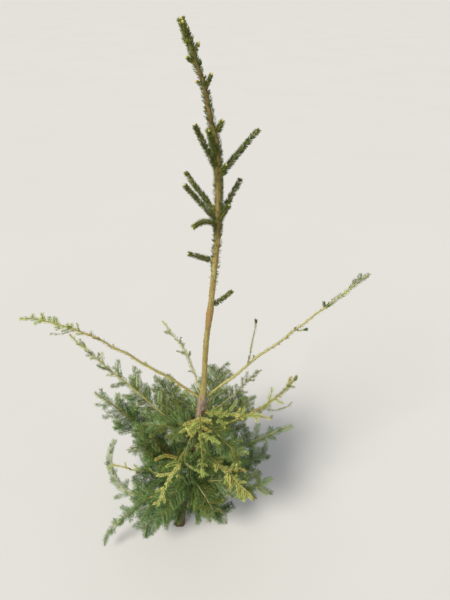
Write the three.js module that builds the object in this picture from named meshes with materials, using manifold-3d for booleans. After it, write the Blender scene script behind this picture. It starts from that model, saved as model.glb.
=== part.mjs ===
// A young red spruce, about 1.45 m tall, rooted in level ground.
// Millimetres and degrees. +Z is up, the origin is the middle of the flat cut under the trunk.
// Headings are measured from +X towards +Y, and a rise is measured up from level.
import * as THREE from "three";
import Module from "manifold-3d";

const wasm = await Module();
wasm.setup();

// Trunk: height, lean and radius from the cut at the ground to the foot of the top shoot.
const TRUNK_LINE = [
  { height: 0, lean: 0, radius: 12.5 },
  { height: 150, lean: 26, radius: 11.6 },
  { height: 340, lean: 56, radius: 11 },
  { height: 540, lean: 84, radius: 10.2 },
  { height: 612, lean: 94, radius: 10 },
  { height: 660, lean: 99, radius: 6.8 },
  { height: 800, lean: 108, radius: 6.5 },
  { height: 900, lean: 120, radius: 6.3 },
  { height: 990, lean: 129, radius: 6.2 },
  { height: 1080, lean: 137, radius: 6.1 },
  { height: 1170, lean: 140, radius: 5.9 },
  { height: 1260, lean: 138, radius: 5.2 },
  { height: 1305, lean: 128, radius: 4.4 },
  { height: 1366, lean: 116, radius: 3.6 },
  { height: 1392, lean: 106, radius: 3.2 },
  { height: 1414, lean: 99, radius: 2.9 },
];
const TRUNK_TOP = TRUNK_LINE.at(-1).height;
const TRUNK_SIDES = 12;
const TRUNK_RINGS = 26;
const TRUNK_RING_CROWDING = 1.15;
const FLARE = 5.5;
const FLARE_HEIGHT = 26;
const FLARE_LOBES = 4;
const FLARE_LOBE_DEPTH = 0.1;

// Gaps: between two pieces that touch on the tree, and round a needle or twig.
const SEAT_GAP = 0.3;
const ROOM = 1.2;

// Limbs: collar where a limb leaves the trunk, and the taper to its end.
const COLLAR = 0.35;
const COLLAR_LENGTH = 9;
const LIMB_TIP_SHARE = 0.42;
const BOUGH_SIDES = 6;
const BOUGH_RING_STEP = 34;

// Twigs: where they leave a stem, how far they spread, and how they thin out towards its tip.
const TWIG_RADIUS = 1.9;
const TWIG_TIP_RADIUS = 1.1;
const TWIG_FIRST = 0.1;
const TWIG_LAST = 0.9;
const TWIG_SPREAD = 50;
const TWIG_SPREAD_PLAY = 14;
const TWIG_ROLL_PLAY = 110;
const TWIG_LIFT = 12;
const TWIG_THINNING = 0.58;
const TWIG_LEAST_SHARE = 0.8;
const TWIG_SHARE_PLAY = 0.4;
const TWIG_SHORTEST = 26;
const PROBE_STEPS = 12;

// Seeds: each limb draws its own row of numbers from them, by the usual 32-bit rule.
const FIRST_SEED = 101;
const SEED_STEP = 37;
const SEED_FACTOR = 1664525;
const SEED_OFFSET = 1013904223;
const SEED_RANGE = 2 ** 32;

// Needles: the long ones of the lower crown, and the short ones that lie close along the upper shoots.
const LOWER = { sides: 3, step: 17.5, needle: 16.5, lean: 50 };
const UPPER = { sides: 3, step: 8.5, needle: 10, lean: 34 };
const LEADER = { sides: 5, step: 7, needle: 9.5, lean: 28 };
const BUD = { sides: 4, step: 6, needle: 5, lean: 30 };

// Colours of the bark, of the green needles, and of the shoots that have yellowed.
const BARK = 0x8f6748;
const BOUGH_BARK = 0xa08a52;
const GREEN = 0x47703f;
const OLIVE = 0x5c6a34;
const YELLOW = 0xb9a443;
const ROUGHNESS = 0.9;

// Limbs of the tree. Each leaves the trunk at a height, on a heading and with a rise, which change by swing
// and bend along it. The bough is its bare part. The mass has the rest, with its own tipSwing and tipBend,
// and a number of twigs, of which the first would reach furthest.
const LIMBS = [
  // Short shoots of the two upper whorls, and two thin twigs on the bare stem below them.
  { name: "crown_shoot_left", kind: UPPER, height: 1214, heading: 209, rise: 59, bend: 7, length: 94 },
  { name: "crown_shoot_front", kind: UPPER, height: 1234, heading: 245, rise: 60, length: 64 },
  { name: "crown_shoot_small", kind: UPPER, height: 1276, heading: 332, rise: 60, length: 30 },
  { name: "crown_shoot_right", kind: UPPER, height: 1199, heading: 25, rise: 46, bend: -3, length: 111 },
  { name: "crown_shoot_inner", kind: UPPER, height: 1200, heading: 316, rise: 55, length: 34 },
  { name: "crown_shoot_back", kind: UPPER, height: 1208, heading: 112, rise: 54, length: 82 },
  { name: "second_shoot_left", kind: UPPER, height: 1112, heading: 197, rise: 53, length: 102 },
  { name: "second_shoot_left_back", kind: UPPER, height: 1125, heading: 148, rise: 45, length: 103 },
  { name: "second_shoot_drooping", kind: UPPER, height: 1098, heading: 226, rise: 62, bend: -82, length: 74 },
  { name: "second_shoot_right", kind: UPPER, height: 1118, heading: 29, rise: 55, length: 86 },
  { name: "second_shoot_front", kind: UPPER, height: 1112, heading: 309, rise: 54, length: 56 },
  { name: "second_shoot_back", kind: UPPER, height: 1114, heading: 84, rise: 52, length: 84 },
  { name: "stem_twig_left", kind: UPPER, height: 1022, heading: 198, rise: 28, length: 60 },
  { name: "stem_twig_right", kind: UPPER, height: 905, heading: 12, rise: 35, length: 60 },
  // Long limbs of the whorl at the foot of the bare stem.
  {
    name: "long_right", height: 606, heading: 22, rise: 29.5, bend: 1, bough: 112, length: 538, radius: 4.3,
    twigs: 3, reach: 150, first: 0.01, roll: 82, thinning: 1.15,
  },
  {
    name: "long_left", height: 606, heading: 160, swing: 2, rise: 27, bend: -5, bough: 265, length: 552,
    tipBend: -30, radius: 4.3, twigs: 4, reach: 66,
  },
  {
    name: "slim_back_left", height: 612, heading: 109, swing: 10, rise: 33, bend: -9, bough: 104, length: 254,
    tipSwing: 12, tipBend: -11, radius: 2.8, twigs: 3, reach: 60,
  },
  {
    name: "slim_back_right", height: 528, heading: 30, swing: 3, rise: 6, bend: 38, length: 208, radius: 2.6,
    twigs: 5, reach: 70,
  },
  {
    name: "front_clump", height: 558, heading: 272, swing: 6, rise: -4, length: 172, tipBend: -62,
    radius: 2.9, twigs: 7, reach: 64, tint: YELLOW,
  },
  // Limbs of the dense lower crown, from the top down but for a few.
  {
    name: "gold_right", height: 552, heading: 347, rise: 14, length: 187, tipBend: -12, radius: 2.9, twigs: 6,
    reach: 62, tint: YELLOW,
  },
  {
    name: "inner_left", height: 500, heading: 190, rise: 14, length: 166, tipBend: -10, radius: 2.9, twigs: 7,
    reach: 74,
  },
  {
    name: "rising_right", height: 466, heading: 357, rise: 22, bend: 10, bough: 110, length: 349, tipBend: 33,
    radius: 3.6, twigs: 8, reach: 84,
  },
  {
    name: "high_back", height: 452, heading: 74, rise: 8, bend: 2, bough: 64, length: 232, tipBend: 3,
    radius: 3.6, twigs: 7, reach: 84,
  },
  {
    name: "second_left", height: 440, heading: 159, swing: -2, rise: 31, bend: 2, bough: 140, length: 457,
    tipSwing: -3, tipBend: 2, radius: 4.4, twigs: 8, reach: 70,
  },
  {
    name: "gold_front_right", height: 424, heading: 312, swing: 1, rise: 6, length: 224, tipSwing: 3,
    tipBend: -22, radius: 3.2, twigs: 8, reach: 78, tint: YELLOW,
  },
  {
    name: "gold_front_left", height: 404, heading: 229, rise: -2, length: 192, tipSwing: 4, tipBend: -60,
    radius: 3, twigs: 7, reach: 62, tint: YELLOW,
  },
  {
    name: "middle_back", height: 388, heading: 116, rise: 9, bend: 1, bough: 72, length: 262, tipBend: 3,
    radius: 3.7, twigs: 7, reach: 86,
  },
  {
    name: "third_left", height: 318, heading: 173, swing: -2, rise: 28, bend: 25, bough: 92, length: 373,
    tipSwing: 2, tipBend: -6, radius: 4, twigs: 9, reach: 98,
  },
  {
    name: "arching_right", height: 268, heading: 17, rise: 26, bend: 0, bough: 84, length: 346, tipBend: -17,
    radius: 3.8, twigs: 8, reach: 88,
  },
  {
    name: "middle_back_right", height: 316, heading: 50, rise: 14, bend: 1, bough: 74, length: 274,
    tipBend: 3, radius: 3.7, twigs: 7, reach: 86,
  },
  {
    name: "low_front_left", height: 300, heading: 238, rise: -3, length: 150, tipBend: -24, radius: 2.9,
    twigs: 6, reach: 66,
  },
  {
    name: "low_front_right", height: 276, heading: 303, rise: 7, length: 134, tipBend: -16, radius: 3,
    twigs: 7, reach: 72,
  },
  {
    name: "low_left", height: 252, heading: 183, rise: 20, length: 237, tipSwing: -6, tipBend: -6,
    radius: 3.4, twigs: 8, reach: 84,
  },
  {
    name: "low_right", height: 238, heading: 351, swing: -2, rise: 20, bend: -3, bough: 66, length: 261,
    tipSwing: -4, tipBend: -30, radius: 3.5, twigs: 8, reach: 88,
  },
  {
    name: "low_back", height: 246, heading: 86, rise: 14, bend: 1, bough: 70, length: 258, tipBend: 3,
    radius: 3.6, twigs: 7, reach: 84,
  },
  {
    name: "drooping_left", height: 215, heading: 198, swing: 1, rise: 14, bend: -23, bough: 84, length: 354,
    tipSwing: 3, tipBend: -62, radius: 3.3, twigs: 8, reach: 78,
  },
  {
    name: "low_back_left", height: 198, heading: 134, rise: 15, length: 246, tipBend: 2, radius: 3.2,
    twigs: 7, reach: 82,
  },
  {
    name: "low_back_right", height: 187, heading: 25, rise: 10, length: 277, tipBend: -5, radius: 3.1,
    twigs: 7, reach: 78,
  },
  {
    name: "foot_front_left", height: 150, heading: 216, rise: 10, length: 160, tipBend: -34, radius: 3,
    twigs: 7, reach: 74,
  },
  {
    name: "foot_front_right", height: 146, heading: 337, rise: 10, length: 142, tipBend: -14, radius: 3,
    twigs: 7, reach: 74,
  },
  {
    name: "arching_left", height: 179, heading: 198, swing: -9, rise: 2, bend: -7, bough: 70, length: 420,
    tipSwing: -112, tipBend: 9, radius: 3.2, twigs: 8, reach: 58,
  },
  // The leader's top shoot, over the trunk's end, and the side buds below it.
  { name: "top_shoot", kind: LEADER, height: 1411, heading: 180, rise: 70, length: 40, radius: 3 },
  { name: "leader_bud_right", kind: BUD, height: 1350, heading: 350, rise: 64, length: 25, radius: 2.4 },
  { name: "leader_bud_left", kind: BUD, height: 1389, heading: 184, rise: 32, length: 17, radius: 1.8 },
  // A straight young shoot of the lower crown, which droops to the right of the front clump.
  {
    name: "drooping_right", height: 530, heading: 320, rise: -8, length: 148, tipBend: -21, radius: 2.6,
    twigs: 6, reach: 60,
  },
];

// A row of even numbers from 0 to 1 that depends only on its seed.
function seeded(seed) {
  let state = seed;
  return () => {
    state = (state * SEED_FACTOR + SEED_OFFSET) % SEED_RANGE;
    return state / SEED_RANGE;
  };
}

const radians = THREE.MathUtils.degToRad;

// The three directions of a limb at a heading and a rise: along it, level across it, and up from it.
function directions(heading, rise) {
  const [h, r] = [radians(heading), radians(rise)];
  const along = new THREE.Vector3(Math.cos(h) * Math.cos(r), Math.sin(h) * Math.cos(r), Math.sin(r));
  const across = new THREE.Vector3(-Math.sin(h), Math.cos(h), 0);
  return { along, across, up: along.clone().cross(across) };
}

// The stations of a path that turns evenly from its first heading and rise, one at each of its steps.
function walk(start, { heading, swing = 0, rise, bend = 0, length }, steps) {
  const stations = [{ point: start.clone(), ...directions(heading, rise) }];
  for (let step = 1; step <= steps; step += 1) {
    const middle = (step - 0.5) / steps;
    const { along } = directions(heading + swing * middle, rise + bend * middle);
    const point = stations[step - 1].point.clone().addScaledVector(along, length / steps);
    const done = step / steps;
    stations.push({ point, ...directions(heading + swing * done, rise + bend * done) });
  }
  return stations;
}

// The trunk's middle line is a smooth curve through its sizes, and its radius runs evenly between them.
const trunkCurve = new THREE.CatmullRomCurve3(
  TRUNK_LINE.map(({ height, lean }) => new THREE.Vector3(lean, 0, height)),
);

function trunkAt(height) {
  const above = Math.max(1, TRUNK_LINE.findIndex((row) => row.height >= Math.min(height, TRUNK_TOP)));
  const [low, high] = [TRUNK_LINE[above - 1], TRUNK_LINE[above]];
  const share = (height - low.height) / (high.height - low.height);
  const point = trunkCurve.getPoint((above - 1 + share) / (TRUNK_LINE.length - 1));
  const taper = low.radius + (high.radius - low.radius) * share;
  return { point, radius: taper + FLARE * Math.exp(-height / FLARE_HEIGHT) };
}

// Adds up a closed solid from its corners and faces.
function solidOf(corners, faces) {
  return new wasm.Manifold(
    new wasm.Mesh({
      numProp: 3,
      vertProperties: new Float32Array(corners.flatMap((corner) => corner.toArray())),
      triVerts: new Uint32Array(faces.flat()),
    }),
  );
}

// A closed tube with a ring of corners at each station. Its foot is flat, and its end is flat or pointed.
// A face for which needleAt gives a point runs up to it as a needle, in place of lying flat.
function tube(stations, shape) {
  const { sides, radiusAt, twist = 0, pointed = false, needleAt = () => null, foldAt = () => 1 } = shape;
  const corners = [];
  const faces = [];
  const last = stations.length - (pointed ? 2 : 1);
  const corner = (ring, side) => ring * sides + ((side + sides) % sides);
  for (let ring = 0; ring <= last; ring += 1) {
    const { point, across, up } = stations[ring];
    for (let side = 0; side < sides; side += 1) {
      const turn = (2 * Math.PI * (side + twist * ring)) / sides;
      const radius = radiusAt(ring / (stations.length - 1)) * foldAt(ring, turn);
      corners.push(
        point.clone()
          .addScaledVector(across, radius * Math.cos(turn))
          .addScaledVector(up, radius * Math.sin(turn)),
      );
    }
  }
  for (let ring = 0; ring < last; ring += 1) {
    for (let side = 0; side < sides; side += 1) {
      const [near, far] = [ring, ring + 1];
      const square = [corner(near, side), corner(near, side + 1), corner(far, side + 1), corner(far, side)];
      const needle = needleAt(ring, square.map((number) => corners[number]));
      if (needle) {
        const tip = corners.push(needle) - 1;
        square.forEach((number, edge) => faces.push([number, square[(edge + 1) % 4], tip]));
      } else {
        faces.push([square[0], square[1], square[3]], [square[1], square[2], square[3]]);
      }
    }
  }
  for (let side = 1; side < sides - 1; side += 1) faces.push([0, side + 1, side]);
  if (pointed) {
    const tip = corners.push(stations.at(-1).point.clone()) - 1;
    for (let side = 0; side < sides; side += 1) faces.push([corner(last, side), corner(last, side + 1), tip]);
  } else {
    for (let side = 1; side < sides - 1; side += 1) {
      faces.push([corner(last, 0), corner(last, side), corner(last, side + 1)]);
    }
  }
  return solidOf(corners, faces);
}

// The trunk, with the low folds of its root flare. Grown by a gap, it clears the limbs that meet it.
function trunkSolid(grown) {
  const stations = [];
  const heights = [];
  for (let ring = 0; ring <= TRUNK_RINGS; ring += 1) {
    const height = TRUNK_TOP * (ring / TRUNK_RINGS) ** TRUNK_RING_CROWDING;
    heights.push(height);
    stations.push({
      point: trunkAt(height).point,
      across: new THREE.Vector3(1, 0, 0),
      up: new THREE.Vector3(0, 1, 0),
    });
  }
  stations.at(-1).point.z += grown;
  return tube(stations, {
    sides: TRUNK_SIDES,
    radiusAt: (share) => trunkAt(heights[Math.round(share * TRUNK_RINGS)]).radius + grown,
    foldAt: (ring, turn) =>
      1 - FLARE_LOBE_DEPTH * Math.exp(-heights[ring] / FLARE_HEIGHT) * Math.cos(FLARE_LOBES * turn),
  });
}

// A limb's whole path: the bough's stretch from the trunk's middle line, then the mass's.
function limbPaths(limb) {
  const bough = limb.bough ?? 0;
  const start = trunkAt(limb.height).point;
  const { heading, swing = 0, rise, bend = 0 } = limb;
  const bare = bough ? walk(start, { ...limb, length: bough }, Math.ceil(bough / BOUGH_RING_STEP)) : null;
  const kind = limb.kind ?? LOWER;
  const foot = bare ? bare.at(-1).point : start;
  const turned = bare ? { heading: heading + swing, rise: rise + bend } : { heading, rise };
  const curve = { swing: limb.tipSwing ?? swing, bend: limb.tipBend ?? bend };
  const length = limb.length - bough;
  const stem = walk(foot, { ...turned, ...curve, length }, Math.ceil(length / kind.step));
  return { bare, stem };
}

// Every limb's path as a chain of points, by which a twig or needle is kept in its own limb's space.
const paths = LIMBS.map(limbPaths);
const chains = paths.map(({ bare, stem }) => [...(bare ?? []), ...stem].map(({ point }) => point));

function distanceToChain(chain, point) {
  const line = new THREE.Line3();
  const near = new THREE.Vector3();
  let least = Infinity;
  for (let link = 1; link < chain.length; link += 1) {
    line.set(chain[link - 1], chain[link]).closestPointToPoint(point, true, near);
    least = Math.min(least, near.distanceTo(point));
  }
  return least;
}

// True where a point is above the ground, clear of the trunk, and nearer its own limb than any other.
function isOwn(index, point) {
  if (point.z < ROOM) return false;
  const own = distanceToChain(chains[index], point) + ROOM;
  if (point.z < TRUNK_TOP + ROOM) {
    const trunk = trunkAt(Math.min(point.z, TRUNK_TOP));
    const apart = Math.hypot(point.x - trunk.point.x, point.y - trunk.point.y);
    if (apart < trunk.radius + 2 * ROOM) return false;
  }
  return chains.every((chain, other) => other === index || distanceToChain(chain, point) > own);
}

// A stem or twig with its needles, as one pointed tube. Its foot, up to the second ring, is bare.
function needledTube(stations, index, kind, radiusAt) {
  const lean = radians(kind.lean);
  const needleAt = (ring, square) => {
    if (ring === 0) return null;
    const middle = new THREE.Vector3();
    square.forEach((point) => middle.addScaledVector(point, 0.25));
    const axis = stations[ring].point.clone().lerp(stations[ring + 1].point, 0.5);
    const out = middle.clone().sub(axis).normalize();
    const point = middle
      .addScaledVector(out, kind.needle * Math.sin(lean))
      .addScaledVector(stations[ring].along, kind.needle * Math.cos(lean));
    return isOwn(index, point) ? point : null;
  };
  return tube(stations, { sides: kind.sides, twist: 0.5, pointed: true, radiusAt, needleAt });
}

// The twigs of a mass. They leave its stem by turns on either side, longest near its foot. A twig stops where
// it would leave the mass's space, and one too short for its needles is skipped.
function twigPaths(limb, index, stem) {
  const random = seeded(FIRST_SEED + SEED_STEP * index);
  const twigs = [];
  const count = limb.twigs ?? 0;
  const first = limb.first ?? TWIG_FIRST;
  for (let number = 0; number < count; number += 1) {
    const share = first + ((TWIG_LAST - first) * (number + 0.5 * random())) / count;
    const roll = radians((limb.roll ?? 0) + 180 * number + TWIG_ROLL_PLAY * (random() - 0.5));
    const spread = radians(TWIG_SPREAD + TWIG_SPREAD_PLAY * (random() - 0.5));
    const thinning = limb.thinning ?? TWIG_THINNING;
    const longest = limb.reach * (1 - thinning * share);
    const wanted = longest * (TWIG_LEAST_SHARE + TWIG_SHARE_PLAY * random());
    const place = share * (stem.length - 1);
    const station = stem[Math.floor(place)];
    const next = stem[Math.floor(place) + 1];
    const start = station.point.clone().lerp(next.point, place % 1);
    const heads = station.along.clone().multiplyScalar(Math.cos(spread))
      .addScaledVector(station.across, Math.sin(spread) * Math.cos(roll))
      .addScaledVector(station.up, Math.sin(spread) * Math.sin(roll));
    const course = {
      heading: THREE.MathUtils.radToDeg(Math.atan2(heads.y, heads.x)),
      rise: THREE.MathUtils.radToDeg(Math.asin(heads.z)),
      bend: TWIG_LIFT,
    };
    const probe = walk(start, { ...course, length: wanted }, PROBE_STEPS);
    const outside = probe.findIndex(({ point }, step) => step > 1 && !isOwn(index, point));
    const length = outside < 0 ? wanted : (wanted * (outside - 1)) / PROBE_STEPS;
    if (length < TWIG_SHORTEST) continue;
    twigs.push(walk(start, { ...course, length }, Math.ceil(length / (limb.kind ?? LOWER).step)));
  }
  return twigs;
}

// The largest body of a solid, without loose scraps and with its sealed hollows filled.
function largestBody(solid) {
  const bodies = solid.decompose();
  return bodies.sort((one, other) => other.volume() - one.volume())[0];
}

const tree = new THREE.Group();

// Gives a finished solid its name, colour and place in the tree.
function addPiece(name, solid, color) {
  const { vertProperties, triVerts } = solid.getMesh();
  const geometry = new THREE.BufferGeometry();
  geometry.setAttribute("position", new THREE.BufferAttribute(new Float32Array(vertProperties), 3));
  geometry.setIndex(new THREE.BufferAttribute(new Uint32Array(triVerts), 1));
  const finish = { color, roughness: ROUGHNESS, metalness: 0, flatShading: true };
  const piece = new THREE.Mesh(geometry, new THREE.MeshStandardMaterial(finish));
  piece.name = name;
  tree.add(piece);
}

// How thick a limb is at a share of its whole length.
function limbRadius(limb, share) {
  const radius = limb.radius ?? TWIG_RADIUS;
  const collar = COLLAR * Math.exp((-share * limb.length) / COLLAR_LENGTH);
  return radius * (1 - (1 - LIMB_TIP_SHARE) * share + collar);
}

addPiece("trunk", trunkSolid(0), BARK);
const trunkRoom = trunkSolid(SEAT_GAP);

LIMBS.forEach((limb, index) => {
  const { bare, stem } = paths[index];
  const kind = limb.kind ?? LOWER;
  const boughShare = (limb.bough ?? 0) / limb.length;
  if (bare) {
    const radiusAt = (share) => limbRadius(limb, share * boughShare);
    const bough = tube(bare, { sides: BOUGH_SIDES, radiusAt }).subtract(trunkRoom);
    addPiece(`bough_${limb.name}`, largestBody(bough), BOUGH_BARK);
    // The mass's stem starts just past the bough's end.
    stem[0].point.addScaledVector(stem[0].along, SEAT_GAP);
  }
  const stemRadius = (share) => limbRadius(limb, boughShare + (1 - boughShare) * share);
  const twigRadius = (share) => TWIG_RADIUS + (TWIG_TIP_RADIUS - TWIG_RADIUS) * share;
  let mass = needledTube(stem, index, kind, stemRadius);
  for (const twig of twigPaths(limb, index, stem)) {
    mass = mass.add(needledTube(twig, index, kind, twigRadius));
  }
  if (!bare) mass = mass.subtract(trunkRoom);
  const color = limb.tint ?? (kind === UPPER ? OLIVE : GREEN);
  addPiece(`mass_${limb.name}`, largestBody(mass), color);
});

export default tree;
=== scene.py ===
# A young red spruce, about 1.45 m tall: bark, boughs, twigs, needles and buds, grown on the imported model.
# Its limbs follow the same rule and seeds as the solids, and are carried on here to finer twigs.
import math

import bpy
import numpy as np
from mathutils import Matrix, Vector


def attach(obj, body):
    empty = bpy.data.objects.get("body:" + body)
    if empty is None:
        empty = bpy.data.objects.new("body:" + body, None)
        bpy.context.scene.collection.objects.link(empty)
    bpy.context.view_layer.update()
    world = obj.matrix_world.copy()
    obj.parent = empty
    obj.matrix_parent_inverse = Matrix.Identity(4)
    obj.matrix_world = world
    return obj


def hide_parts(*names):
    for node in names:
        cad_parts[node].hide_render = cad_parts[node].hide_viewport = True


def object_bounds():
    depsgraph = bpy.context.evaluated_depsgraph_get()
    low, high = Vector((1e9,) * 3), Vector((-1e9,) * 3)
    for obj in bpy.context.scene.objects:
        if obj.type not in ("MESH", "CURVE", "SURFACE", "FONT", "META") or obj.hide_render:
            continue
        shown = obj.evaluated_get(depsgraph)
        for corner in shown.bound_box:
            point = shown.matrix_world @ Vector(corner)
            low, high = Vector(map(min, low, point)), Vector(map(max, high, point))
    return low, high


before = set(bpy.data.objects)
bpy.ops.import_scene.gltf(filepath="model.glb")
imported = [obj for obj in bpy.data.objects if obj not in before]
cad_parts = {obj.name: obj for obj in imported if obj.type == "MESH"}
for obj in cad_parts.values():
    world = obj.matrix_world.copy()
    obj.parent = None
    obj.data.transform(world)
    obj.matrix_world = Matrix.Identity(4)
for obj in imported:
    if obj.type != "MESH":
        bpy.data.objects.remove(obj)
cad_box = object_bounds()

# View. A standing person looks down on the tree from about 1.5 m up and 0.8 m in front of its foot.
# The lens takes in 67 degrees from the top of the picture to its bottom.
EYE = (0.1527, -0.8103, 1.5)
LOOKING_DOWN = math.radians(35.4)
SENSOR_WIDTH, FOCAL_LENGTH = 36, 27.04
FARTHEST = 300
lens = bpy.data.cameras.new("view")
lens.sensor_width = SENSOR_WIDTH
lens.lens = FOCAL_LENGTH
lens.clip_end = FARTHEST
viewer = bpy.data.objects.new("view", lens)
viewer.location = EYE
viewer.rotation_euler = (math.pi / 2 - LOOKING_DOWN, 0, 0)
bpy.context.scene.collection.objects.link(viewer)
bpy.context.scene.camera = viewer
bpy.context.scene.view_settings.view_transform = "Standard"

# Light. Bright overcast: a pale sky all round and a broad soft sun from above, a little left of the view.
# The ground is a plain pale floor, wide enough to fill the view up to the horizon.
SKY, SKY_STRENGTH = (0.90, 0.94, 1.0), 0.44
SUN, SUN_STRENGTH, SUN_BREADTH = (1.0, 0.965, 0.90), 2.9, math.radians(22)
SUN_TURN = (math.radians(38), math.radians(-16), math.radians(-24))
FLOOR_HALF = 150
sky = bpy.data.worlds.new("sky")
sky.use_nodes = True
sky.node_tree.nodes["Background"].inputs["Color"].default_value = (*SKY, 1)
sky.node_tree.nodes["Background"].inputs["Strength"].default_value = SKY_STRENGTH
bpy.context.scene.world = sky
sun_light = bpy.data.lights.new("sun", "SUN")
sun_light.energy = SUN_STRENGTH
sun_light.angle = SUN_BREADTH
sun_light.color = SUN
sun = bpy.data.objects.new("sun", sun_light)
sun.rotation_euler = SUN_TURN
bpy.context.scene.collection.objects.link(sun)


class Wire:
    """A socket of a node tree. Arithmetic on it adds the Math nodes that work it out."""

    def __init__(self, net, socket):
        self.net, self.socket = net, socket

    def _math(self, operation, first, second):
        return self.net.node("ShaderNodeMath", {0: first, 1: second}, operation=operation)

    def __add__(self, other):
        return self._math("ADD", self, other)

    def __sub__(self, other):
        return self._math("SUBTRACT", self, other)

    def __rsub__(self, other):
        return self._math("SUBTRACT", other, self)

    def __mul__(self, other):
        return self._math("MULTIPLY", self, other)

    def __pow__(self, other):
        return self._math("POWER", self, other)

    __radd__ = __add__
    __rmul__ = __mul__


class Net:
    """A node tree that is written as expressions."""

    def __init__(self, tree):
        self.tree = tree

    def fill(self, made, sockets):
        """Gives a node's inputs their values or links."""
        for name, value in sockets.items():
            if isinstance(value, Wire):
                self.tree.links.new(value.socket, made.inputs[name])
            else:
                made.inputs[name].default_value = value

    def node(self, kind, sockets=None, out=0, **settings):
        """Adds a node, with its settings and inputs, and gives one of its outputs."""
        made = self.tree.nodes.new(kind)
        for name, value in settings.items():
            setattr(made, name, value)
        self.fill(made, sockets or {})
        return Wire(self, made.outputs[out])

    def mix(self, share, low, high):
        """Mixes two colours, each of them plain or another mix."""
        low, high = ((*end, 1) if isinstance(end, tuple) else end for end in (low, high))
        return self.node("ShaderNodeMix", {0: share, 6: low, 7: high}, out=2, data_type="RGBA")

    def grain(self, scale, stretch=(1, 1, 1)):
        """A noise in the piece's own place, from about 0.2 to 0.8, drawn out by the stretch."""
        place = self.node("ShaderNodeTexCoord", out=3)
        drawn = self.node("ShaderNodeMapping", {"Vector": place, "Scale": stretch})
        sockets = {"Vector": drawn, "Scale": scale, "Detail": 3, "Roughness": 0.6}
        return self.node("ShaderNodeTexNoise", sockets)

    def pattern(self, scale, low, high, stretch=(1, 1, 1)):
        """A noise that is cut off at a low and a high value, which makes it patchy."""
        return self.ramp(self.grain(scale, stretch), low, high)

    def ramp(self, value, low, high):
        """0 below low, 1 above high, and straight between them."""
        return self.node("ShaderNodeMapRange", {0: value, 1: low, 2: high, 3: 0, 4: 1}, clamp=True)

    def band(self, value, rise, fall):
        """1 between two ramps, the one that it rises on and the one that it falls on."""
        return self.ramp(value, *rise) * (1 - self.ramp(value, *fall))

    def bump(self, height, strength, depth):
        """A fine relief, as deep as it says in metres."""
        return self.node("ShaderNodeBump", {"Height": height, "Strength": strength, "Distance": depth})

    def dress(self, colour, roughness, **others):
        """Gives a material's shader its colour, its roughness and what else it has."""
        ends = {"Base Color": colour, "Roughness": roughness, **others}
        self.fill(self.tree.nodes["Principled BSDF"], ends)


FULL_TONE, GAMMA = 255, 2.2


def tone(red, green, blue):
    """A colour as it is seen, from 0 to 255, in the linear values that a shader takes."""
    return tuple(round((part / FULL_TONE) ** GAMMA, 4) for part in (red, green, blue))


def new_finish(name):
    """A material, with its net."""
    finish = bpy.data.materials.new(name)
    finish.use_nodes = True
    return finish, Net(finish.node_tree)


FLOOR_PALE, FLOOR_WARM = tone(222, 220, 216), tone(216, 213, 207)
FLOOR_GRAIN, FLOOR_ROUGHNESS = 0.8, 0.95
floor_finish, net = new_finish("pale_floor")
net.dress(net.mix(net.grain(FLOOR_GRAIN), FLOOR_PALE, FLOOR_WARM), FLOOR_ROUGHNESS)
floor_mesh = bpy.data.meshes.new("floor")
corners = [(-1, -1), (1, -1), (1, 1), (-1, 1)]
floor_mesh.from_pydata([(FLOOR_HALF * x, FLOOR_HALF * y, 0) for x, y in corners], [], [(0, 1, 2, 3)])
floor_mesh.materials.append(floor_finish)
floor = bpy.data.objects.new("floor", floor_mesh)
bpy.context.scene.collection.objects.link(floor)

# Trunk. One leaning stem from the cut at the ground to the foot of the top shoot. Its bark is grey-brown and
# flaky at the foot, rough and pinkish at the whorl at 0.6 m, and thin and orange-tan on the two years' growth
# above it. Each row is height, lean and radius in millimetres, as in the solid.
MM = 0.001
TRUNK_LINE = np.array([
    (0, 0, 12.5), (150, 26, 11.6), (340, 56, 11), (540, 84, 10.2), (612, 94, 10), (660, 99, 6.8),
    (800, 108, 6.5), (900, 120, 6.3), (990, 129, 6.2), (1080, 137, 6.1), (1170, 140, 5.9),
    (1260, 138, 5.2), (1305, 128, 4.4), (1366, 116, 3.6), (1392, 106, 3.2), (1414, 99, 2.9),
])
TRUNK_TOP = TRUNK_LINE[-1, 0]
FLARE, FLARE_HEIGHT = 5.5, 26
FLARE_LOBES, FLARE_LOBE_DEPTH = 4, 0.1


def trunk_at(heights):
    """The trunk's middle points and its radii at some heights, on a smooth curve through its rows."""
    rows = np.stack([TRUNK_LINE[:, 1], 0 * TRUNK_LINE[:, 1], TRUNK_LINE[:, 0]], 1)
    rows = np.vstack([2 * rows[0] - rows[1], rows, 2 * rows[-1] - rows[-2]])
    heights = np.atleast_1d(np.asarray(heights, float))
    above = np.searchsorted(TRUNK_LINE[:, 0], np.minimum(heights, TRUNK_TOP))
    above = np.clip(above, 1, len(TRUNK_LINE) - 1)
    low, high = TRUNK_LINE[above - 1], TRUNK_LINE[above]
    share = ((heights - low[:, 0]) / (high[:, 0] - low[:, 0]))[:, None]
    before, start, end, after = (rows[above + step] for step in (-1, 0, 1, 2))
    gaps = [np.sqrt(np.linalg.norm(two - one, axis=1))[:, None]
            for one, two in ((before, start), (start, end), (end, after))]
    leave = (start - before) / gaps[0] - (end - before) / (gaps[0] + gaps[1]) + (end - start) / gaps[1]
    arrive = (end - start) / gaps[1] - (after - start) / (gaps[1] + gaps[2]) + (after - end) / gaps[2]
    leave, arrive = leave * gaps[1], arrive * gaps[1]
    points = (start + leave * share + (3 * (end - start) - 2 * leave - arrive) * share ** 2
              + (2 * (start - end) + leave + arrive) * share ** 3)
    taper = low[:, 2] + (high[:, 2] - low[:, 2]) * share[:, 0]
    return points, taper + FLARE * np.exp(-heights / FLARE_HEIGHT)


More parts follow.
